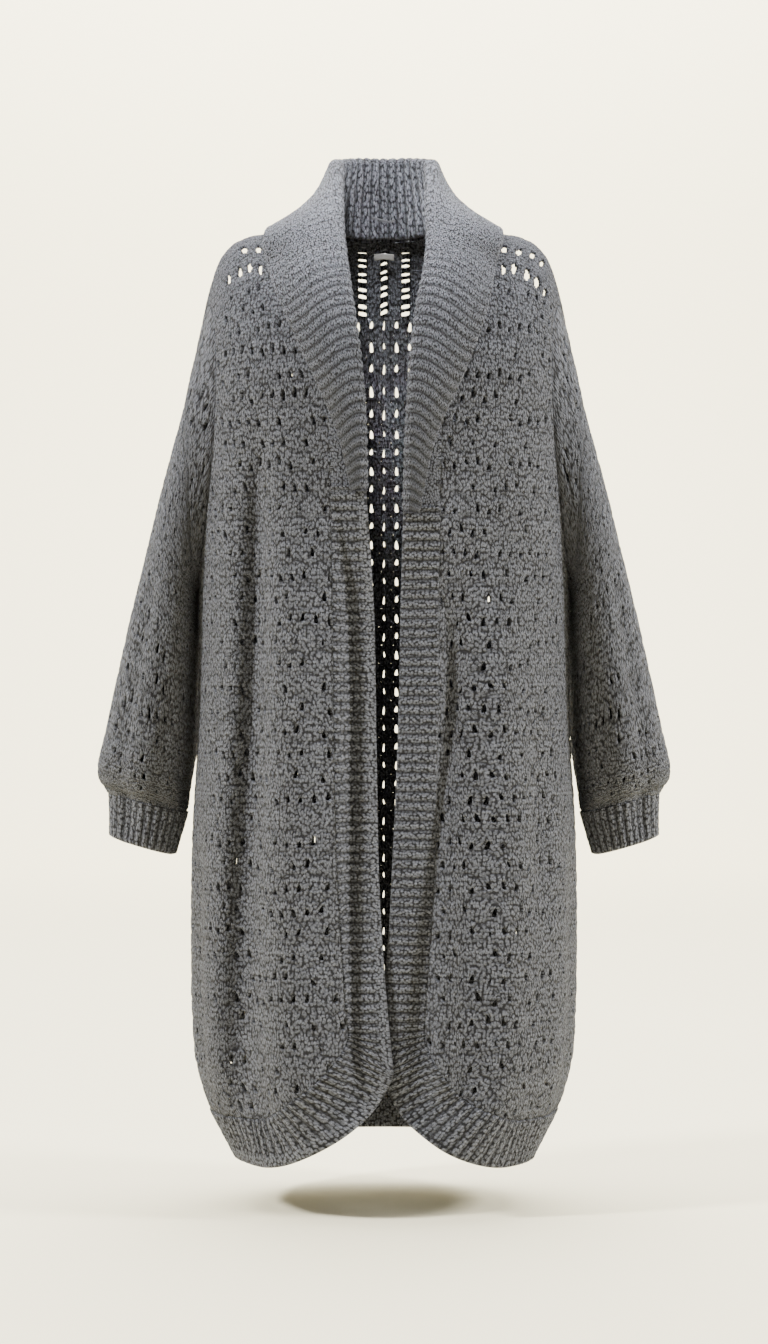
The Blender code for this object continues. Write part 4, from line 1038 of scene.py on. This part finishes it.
def net_holes(wide, high, first_row):
    """The back's net: short rows of wide slanted eyelets under the collar, then tall ones with small ones between."""
    holes = []
    middle = wide // 2
    net_row = first_row + WIDE_ROWS
    for j in range(0, 2 * WIDE_ROWS // 7):
        top = first_row + j * 7 // 2
        for k in range(-3, 4):
            left = middle + k * 10 - 2
            holes.append((left, left + 4, top, top + 2, 0, 0.45 if k < 0 else -0.45))
    for j in range((high - net_row) // NET[1] + 1):
        for k in range(-(middle // NET[0]), middle // NET[0] + 1):
            left = middle + k * NET[0] - 1
            top = net_row + j * NET[1]
            inside = abs(k) < 7
            if not inside and top < net_row:
                continue
            holes.append((left, left + 2, top, top + 4 - (j + k) % 2, 0.3 * (-1) ** j, 0))
            if inside:
                holes.append((left - 1 - (j % 2), left - (j % 2), top + 5, top + 6, 0, 0))
    for j in range(first_row // NET[1], net_row // NET[1] + 1):
        for k in range(-(middle // NET[0]), middle // NET[0] + 1):
            if abs(k) > 6:
                left = middle + k * NET[0] - 1
                holes.append((left, left + 2, j * NET[1], j * NET[1] + 3, 0.4, 0))
    return holes


def sighted(points):
    """Where the camera sees places, on the plane through the origin that it looks at squarely."""
    near = CAMERA[1] / (CAMERA[1] - points[:, 1])
    return np.stack([points[:, 0] * near, CAMERA[2] + (points[:, 2] - CAMERA[2]) * near], axis=-1)


def hole_centres(place, holes):
    spans = np.array([hole[:4] for hole in holes], float)
    s = (spans[:, 0] + spans[:, 1]) / 2 * CELL[0]
    t = (spans[:, 2] + spans[:, 3]) / 2 * CELL[1]
    angle, run, side, held = place(s, t)
    return sighted(body(angle, run, side))


def lit_cells(place, wide, high):
    """Cells of a panel that lie on the eyelets through which light shows at the shoulders."""
    rows, columns = np.meshgrid(np.arange(SHOULDER_CELLS), np.arange(wide), indexing="ij")
    rows, columns = rows.ravel(), columns.ravel()
    angle, run, side, held = place((columns + 0.5) * CELL[0], (rows + 0.5) * CELL[1])
    seen = sighted(body(angle, run, side))
    cells = np.zeros((high, wide), bool)
    for x, z, width, height in LIT_EYELETS:
        within = ((seen[:, 0] - x) / width * 2) ** 2 + ((seen[:, 1] - z) / height * 2) ** 2 < 1
        cells[rows[within], columns[within]] = True
    return cells


def panel(name, wide, high, place, holes, seed, material_depth=1.0):
    """Make a crochet panel. place gives angle, run and side from distances across and down."""
    piece, column, row = start_grid(name, wide, high)
    cut, move, rim = eyelets(wide, high, holes)
    s = (column + move[row, column, 0]) * CELL[0]
    t = (row + move[row, column, 1]) * CELL[1]
    angle, run, side, held = place(s, t)
    points = body(angle, run, side)
    normal = body_normal(angle, run, side)
    raised, deep = shell_relief_and_shade(column * CELL[0], row * CELL[1])
    ragged = (chance(seed, len(column)) - 0.5) * 0.0007
    points = points + normal * ((raised * material_depth + ragged) * (1 - held))[:, None]
    points = creased(points + normal * (rim[row, column] * 0.0004)[:, None])
    cell_column, cell_row = cell_of_faces(piece, column, row)
    loose = np.zeros((high + 1, wide + 1), bool)
    loose[row, column] = held > 0
    near = loose[:-1, :-1] | loose[1:, :-1] | loose[:-1, 1:] | loose[1:, 1:]
    cells = (cut | lit_cells(place, wide, high)) & ~near
    lay_grid(piece, points, np.stack([s, t], axis=-1), deep, cells[cell_row, cell_column])
    return piece, normal


def front_panel(side, word):
    wide = int(round(ARC[-1] / CELL[0]))
    high = DOWN_CELLS
    turn = np.linspace(0, 1, 200)
    x, z = corner(side, turn, True)
    corner_angle = np.abs(front_angle(x, z))
    corner_run = run_of(z)

    def place(s, t):
        angle = np.interp(s, ARC, ARC_ANGLE)
        run = np.clip(t, 0.0006, LOWEST)
        z = height_of(np.minimum(run, run_of(SEAM_CORNER_START)))
        inner = np.abs(front_angle(edge_x(side, z, True), z))
        outer = armhole_angle(run)
        kept = np.clip(angle, inner, outer)
        foot = np.interp(kept, corner_angle, corner_run)
        low = np.minimum(run, foot)
        held = ((angle < inner) | (angle > outer) | (run > foot)).astype(float)
        return side * kept, low, side, held

    holes = shell_holes(wide, high, 5 + side, 0.68, 54)
    FRONT_SIGHTS.append(hole_centres(place, holes))
    piece, _ = panel(f"front_{word}_crochet", wide, high, place, holes, 11 + side)
    face_out_of_body(piece)
    return finish_panel(piece, CROCHET, [f"front_{word}"])


def face_out_of_body(piece):
    mesh = piece.data
    points = np.empty(len(mesh.vertices) * 3, np.float32)
    mesh.vertices.foreach_get("co", points)
    points = points.reshape(-1, 3)
    outward = points * np.array([1, 1, 0])
    outward[:, 2] = np.where(points[:, 2] > -0.1, 0.05, 0)
    face_outwards(piece, outward)


def back_panel():
    half = int(round(ARC[-1] / CELL[0]))
    wide, high = half * 2, DOWN_CELLS
    start = math.pi / 2 - ARMHOLE_TOP

    def place(s, t):
        from_middle = s - half * CELL[0]
        away = math.pi / 2 - np.interp(half * CELL[0] - np.abs(from_middle), ARC, ARC_ANGLE)
        behind = math.pi / 2 - away
        outer = armhole_angle(np.clip(t, 0, LOWEST))
        kept = np.minimum(behind, outer)
        neck = np.maximum(back_start(np.minimum(kept / start, 1)), 0.0006)
        run = np.clip(t, neck, LOWEST)
        held = ((behind > outer) | (t < neck)).astype(float)
        return math.pi - np.sign(from_middle) * kept, run, 0, held

    holes = net_holes(wide, high, int(back_start(0.0) / CELL[1]) + 2)
    seen = hole_centres(place, holes)
    fronts = np.concatenate(FRONT_SIGHTS)
    apart = np.array([np.hypot(*(fronts - spot).T).min() for spot in seen])
    lit = np.array([np.hypot(x - seen[:, 0], z - seen[:, 1]) for x, z, _, _ in LIT_EYELETS]).min(axis=0)
    kept = (np.abs(seen[:, 0]) < SHOWN_NET) | (apart > 0.0095) | (chance(3, len(seen)) < 0.05)
    holes = [hole for hole, keep, far in zip(holes, kept, lit) if keep and far > 0.018]
    piece, _ = panel("back_crochet", wide, high, place, holes, 23, 0.6)
    face_out_of_body(piece)
    return finish_panel(piece, CROCHET, ["back"])


def apart_in_sight(side, wide, high, holes):
    """Drop the eyelets of a sleeve's far half that the camera would see through those of its near half."""
    spans = np.array([hole[:4] for hole in holes], float)
    around = (spans[:, 0] + spans[:, 1]) / wide
    ring = (spans[:, 2] + spans[:, 3]) / 2 / high * (CUFF_RING + 0.01)
    points = round_sleeve(side, around, ring)
    seen = sighted(points)
    middle = np.interp(ring, np.arange(CUFF_RING + 1), [np.mean(round_sleeve(side, np.linspace(0, 2, 40), np.full(40, float(k)))[:, 1]) for k in range(CUFF_RING + 1)])
    near = points[:, 1] < middle
    apart = np.array([np.hypot(*(seen[near] - spot).T).min() for spot in seen])
    return [hole for hole, front, far in zip(holes, near, apart) if front or far > 0.0095]


def sleeve_piece(side, word):
    wide, high = 184, 168
    piece, column, row = start_grid(f"sleeve_{word}_crochet", wide, high)
    holes = shell_holes(wide, high, 31 + side, 0.62, 0)
    holes = apart_in_sight(side, wide, high, holes)
    cut, move, rim = eyelets(wide, high, holes)
    around = (column + move[row, column, 0]) * 2 / wide
    last = CUFF_RING + 0.01
    ring = np.clip((row + move[row, column, 1]) / high, 0, 1) * last
    points = round_sleeve(side, around, ring)
    out = points[:, 0] * side - np.interp(-points[:, 2], [0.1, 0.35, 0.65], [0.205, 0.235, 0.27])
    closer = SLEEVE_CLOSER * np.exp(-(((points[:, 2] + 0.43) / 0.06) ** 2)) * np.clip(-out / 0.03, 0, 1)
    fuller = SLEEVE_FULLER * np.exp(-(((points[:, 2] + 0.616) / 0.03) ** 2)) * np.clip(out / 0.03, 0, 1)
    points[:, 0] += side * (fuller - closer)
    step = 0.02
    across = round_sleeve(side, around + step, ring) - round_sleeve(side, around - step, ring)
    low = np.clip(ring, 0.06, last)
    along = round_sleeve(side, around, low + 0.05) - round_sleeve(side, around, low - 0.05)
    normal = -unit(np.cross(along, across)) * side
    s, t = column * CELL[0], row * CELL[1]
    raised, deep = shell_relief_and_shade(s, t)
    level = ease(0, 3, row.astype(float)) * ease(0, 3, (high - row).astype(float))
    ragged = (chance(41 + side, (high + 1, wide))[row, column % wide] - 0.5) * 0.0008
    points = points + normal * ((raised * 1.1 + ragged) * level)[:, None]
    cell_column, cell_row = cell_of_faces(piece, column, row)
    lay_grid(piece, points, np.stack([s, t], axis=-1), deep, cut[cell_row, cell_column], 2e-5)
    middle = points.mean(axis=0)
    mesh = piece.data
    there = np.empty(len(mesh.vertices) * 3, np.float32)
    mesh.vertices.foreach_get("co", there)
    there = there.reshape(-1, 3)
    centre_x = np.interp(-there[:, 2], [0.1, 0.35, 0.65], side * np.array([0.205, 0.235, 0.27]))
    outward = np.stack([there[:, 0] - centre_x, there[:, 1] - 0.01, 0 * centre_x], axis=-1)
    face_outwards(piece, outward)
    return finish_panel(piece, CROCHET, [f"sleeve_{word}_front", f"sleeve_{word}_back"])


def ribbed_piece(name, depth, surface, ribs, cells_across, node, closed=False, rise=0.0024, strength=None):
    """A ribbed piece as one closed skin: over its ribbed side, round its free edge and back along its plain side."""
    outer_rows = cells_across
    section = [(k / outer_rows, 1.0, 0.0) for k in range(outer_rows + 1)]
    section += [(1.0, 0.82, 0.0016), (1.0, 0.5, 0.0024), (1.0, 0.18, 0.0016)]
    inner_rows = max(cells_across // 3, 3)
    section += [(1 - k / inner_rows, 0.0, 0.0) for k in range(inner_rows + 1)]
    section += [(0.0, 0.5, -0.0006), (0.0, 1.0, 0.0)]
    section = np.array(section)
    wide, high = ribs * RIB_LINE, len(section) - 1
    piece, column, row = start_grid(name, wide, high)
    share = column / wide
    across, level, past = section[row].T
    points, normal = surface(share, across)
    step = 0.02
    over = surface(share, np.minimum(across + step, 1.0))[0] - surface(share, np.maximum(across - step, 0.0))[0]
    rib = np.abs(np.cos(math.pi * column / RIB_LINE)) ** 0.9
    free = (across > 0.999) | (across < 0.001)
    ragged = (chance(57 + len(name), (high, wide))[row % high, column % wide] - 0.5) * 0.0009
    plain = np.ones(len(share)) if strength is None else strength(share, across)
    raised = rise * (1 - plain + plain * rib) + ragged
    inner = points - normal * RIB_WALL
    outer = points + normal * np.where(level > 0.99, raised, rise * 0.5)[:, None]
    points = inner + (outer - inner) * level[:, None] + unit(over) * past[:, None]
    cloth = np.stack([share * ribs * RIB_PITCH, across * depth], axis=-1)
    # Painted shade: the colour darkens in the grooves between the ribs; the plain side and the free edge get one flat
    # value, a little darker than the rib tops.
    groove_shade = np.where(level > 0.99, 0.3 - plain * 1.4 * (1 - rib), 0.1)
    lay_grid(piece, points, cloth, groove_shade)
    if not closed:
        bpy.ops.object.mode_set(mode="EDIT")
        bpy.ops.mesh.select_all(action="SELECT")
        bpy.ops.mesh.fill_holes(sides=0)
        bpy.ops.object.mode_set(mode="OBJECT")
    bpy.ops.object.mode_set(mode="EDIT")
    bpy.ops.mesh.select_all(action="SELECT")
    bpy.ops.mesh.normals_make_consistent(inside=False)
    bpy.ops.object.mode_set(mode="OBJECT")
    return finish_panel(piece, RIBBING, [node], 0)


def cuff_surface(side):
    def surface(share, across):
        ring = CUFF_RING + 0.005 + 0.995 * across
        around = share * 2
        points = round_sleeve(side, around, ring)
        over = round_sleeve(side, around + 0.05, ring) - round_sleeve(side, around - 0.05, ring)
        low = np.minimum(ring, CUFF_RING + 0.95)
        along = round_sleeve(side, around, low + 0.05) - round_sleeve(side, around, low - 0.05)
        return points, -unit(np.cross(along, over)) * side

    return surface


front_left = front_panel(LEFT, "left")
front_right = front_panel(RIGHT, "right")
back = back_panel()
sleeve_left = sleeve_piece(LEFT, "left")
sleeve_right = sleeve_piece(RIGHT, "right")


def band_strength(share, across):
    return 1 - 0.85 * ease(0.72, 0.86, across)


def collar_strength(share, across):
    """The ribs show on the stand and the lapels, and sink into the stitches on the upper lobes."""
    start, end = NECKLINE[0][0], NECKLINE[0][-1]
    place = start + (end - start) * share
    stand = 1 - ease(0.2, 0.45, across)
    lapel = ease(0.16, 0.30, np.abs(place))
    near_nape = 1 - ease(0.02, 0.09, np.abs(place))
    return np.clip(np.maximum(np.maximum(stand, lapel), near_nape * 0.9), 0.25, 1)


band_left = ribbed_piece("band_left_rib", 0.05, lambda s, a: band_surface(LEFT, s, a), 92, 16, "band_left", strength=band_strength)
band_right = ribbed_piece("band_right_rib", 0.05, lambda s, a: band_surface(RIGHT, s, a), 92, 16, "band_right")
hem = ribbed_piece("hem_back_rib", 0.052, hem_surface, 54, 16, "hem_back")
collar_ribs = int(round((NECKLINE[0][-1] - NECKLINE[0][0]) / 0.0116))
collar = ribbed_piece("collar_rib", 0.26, collar_laid, collar_ribs, 60, "collar", rise=0.0018, strength=collar_strength)
cuff_left = ribbed_piece("cuff_left_rib", 0.05, cuff_surface(LEFT), 30, 16, "cuff_left", closed=True)
cuff_right = ribbed_piece("cuff_right_rib", 0.05, cuff_surface(RIGHT), 30, 16, "cuff_right", closed=True)


def plain_finish(name, colour, roughness, thread):
    material = bpy.data.materials.new(name)
    material.use_nodes = True
    tree = material.node_tree
    shader = tree.nodes["Principled BSDF"]
    shader.inputs["Roughness"].default_value = roughness
    place = tree.nodes.new("ShaderNodeTexCoord")
    weave = tree.nodes.new("ShaderNodeTexNoise")
    weave.inputs["Scale"].default_value = thread
    tree.links.new(place.outputs["Object"], weave.inputs["Vector"])
    shade = tree.nodes.new("ShaderNodeMix")
    shade.data_type = "RGBA"
    shade.inputs[6].default_value = (*[c * 0.75 for c in colour], 1)
    shade.inputs[7].default_value = (*[min(c * 1.2, 1) for c in colour], 1)
    tree.links.new(weave.outputs["Fac"], shade.inputs[0])
    tree.links.new(shade.outputs[2], shader.inputs["Base Color"])
    return material


def label_piece():
    low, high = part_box("label")
    width, height, thickness = LABEL
    piece, column, row = start_grid("label_woven", 12, 6)
    x = (column / 12 - 0.5) * width
    t = LABEL_DROP + row / 6 * height
    u = np.abs(x) / 0.31
    run = back_start(np.zeros(len(x))) + t
    angle = math.pi - np.sign(x) * np.abs(front_angle(np.abs(x), -0.2))
    points = body(angle, run) - body_normal(angle, run) * 0.0058
    points[:, 1] = np.minimum(points[:, 1], high[1])
    lay_grid(piece, points, np.stack([x, t], axis=-1), np.zeros(len(x)))
    thick = piece.modifiers.new("Thickness", "SOLIDIFY")
    thick.thickness = 0.0008
    bpy.ops.object.modifier_apply(modifier=thick.name)
    return finish_panel(piece, plain_finish("Blank woven label", (0.40, 0.40, 0.41), 0.6, 900), ["label"], 0)


def loop_piece():
    low, high = [np.array(corner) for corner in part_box("hanger_loop")]
    bpy.ops.object.select_all(action="DESELECT")
    bpy.ops.curve.primitive_bezier_curve_add()
    piece = bpy.context.object
    piece.name = "hanger_loop_cord"
    line = piece.data
    line.bevel_depth = LOOP_RADIUS * 0.9
    line.bevel_resolution = 3
    line.use_fill_caps = True
    ends = line.splines[0].bezier_points
    middle_y = (low[1] + high[1]) / 2
    top = high[2] - LOOP_RADIUS
    for point, way in zip(ends, (-1, 1)):
        point.co = (way * LOOP_SPAN / 2, low[1] + LOOP_RADIUS, top)
        point.handle_left = (way * (LOOP_SPAN / 2 - 0.006) - 0.0, middle_y, top - LOOP_SAG * 1.25)
        point.handle_right = (way * (LOOP_SPAN / 2 - 0.006) - 0.0, middle_y, top - LOOP_SAG * 1.25)
    bpy.ops.object.convert(target="MESH")
    piece = bpy.context.object
    bpy.ops.object.shade_smooth()
    piece.data.materials.clear()
    piece.data.materials.append(plain_finish("Dark grey tape", (0.07, 0.07, 0.078), 0.9, 1400))
    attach(piece, "root")
    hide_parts("hanger_loop")
    return piece


label = label_piece()
loop = loop_piece()


def area_of(piece):
    mesh = piece.data
    areas = np.empty(len(mesh.polygons), np.float32)
    mesh.polygons.foreach_get("area", areas)
    return float(areas.sum())


for piece in (front_left, front_right, back, sleeve_left, sleeve_right, band_left, band_right, hem, collar, cuff_left, cuff_right):
    print("AREA", piece.name, round(area_of(piece), 4), len(piece.data.polygons))

# Studio


def studio():
    material = bpy.data.materials.new("Cream paper")
    material.use_nodes = True
    shader = material.node_tree.nodes["Principled BSDF"]
    shader.inputs["Base Color"].default_value = (0.87, 0.80, 0.58, 1)
    shader.inputs["Roughness"].default_value = 0.95
    shader.inputs["Specular IOR Level"].default_value = 0.05
    bpy.ops.object.select_all(action="DESELECT")
    bpy.ops.mesh.primitive_grid_add(x_subdivisions=2, y_subdivisions=60, size=2)
    floor = bpy.context.object
    floor.name = "paper_sweep"
    mesh = floor.data
    flat = np.empty(len(mesh.vertices) * 3, np.float32)
    mesh.vertices.foreach_get("co", flat)
    flat = flat.reshape(-1, 3)
    t = (flat[:, 1] + 1) / 2 * 21.5
    front, level, radius = -7.0, -1.092, 2.2
    straight = 13.7
    bend = radius * math.pi / 2
    turn = np.clip((t - straight) / radius, 0, math.pi / 2)
    y = front + np.minimum(t, straight) + radius * np.sin(turn)
    z = level + radius * (1 - np.cos(turn)) + np.maximum(t - straight - bend, 0)
    points = np.stack([flat[:, 0] * 8.0, y, z], axis=-1)
    mesh.vertices.foreach_set("co", points.astype(np.float32).ravel())
    mesh.update()
    bpy.ops.object.shade_smooth()
    mesh.materials.append(material)


def softbox(name, place, aim, size, power, spread=math.pi):
    bpy.ops.object.light_add(type="AREA", location=place)
    lamp = bpy.context.object
    lamp.name = name
    lamp.data.shape = "RECTANGLE"
    lamp.data.size, lamp.data.size_y = size
    lamp.data.energy = power
    lamp.data.spread = spread
    lamp.visible_camera = False
    way = np.array(aim) - np.array(place)
    lamp.rotation_euler = (math.atan2(math.hypot(way[0], way[1]), -way[2]), 0, math.atan2(-way[0], way[1]))
    return lamp


studio()
softbox("Key", (-2.7, -1.5, 1.7), (0, 0, -0.4), (0.5, 0.6), 265)
softbox("Neck light", (-0.15, -0.95, 0.72), (0.01, 0.1, -0.09), (0.12, 0.12), 0.7, spread=0.36)
softbox("Fill", (2.9, -1.0, 1.1), (0, 0, -0.4), (0.7, 1.0), 215)
softbox("Floor light", (0.0, 3.6, 3.6), (0, 3.5, -1.09), (6.0, 8.0), 1450)
softbox("Front floor light", (0.0, -3.6, 3.4), (0, -3.7, -1.09), (5.0, 1.0), 60)
softbox("Backdrop light", (0.0, 6.6, 3.6), (0, 10.9, 1.4), (7.0, 1.0), 700)

world = bpy.data.worlds.new("Studio")
bpy.context.scene.world = world
world.use_nodes = True
world.node_tree.nodes["Background"].inputs["Color"].default_value = (0.86, 0.84, 0.77, 1)
world.node_tree.nodes["Background"].inputs["Strength"].default_value = 0.20

bpy.ops.object.camera_add(location=CAMERA, rotation=(math.pi / 2, 0, 0))
camera = bpy.context.object
camera.data.lens = 90
camera.data.sensor_width = 36
bpy.context.scene.camera = camera
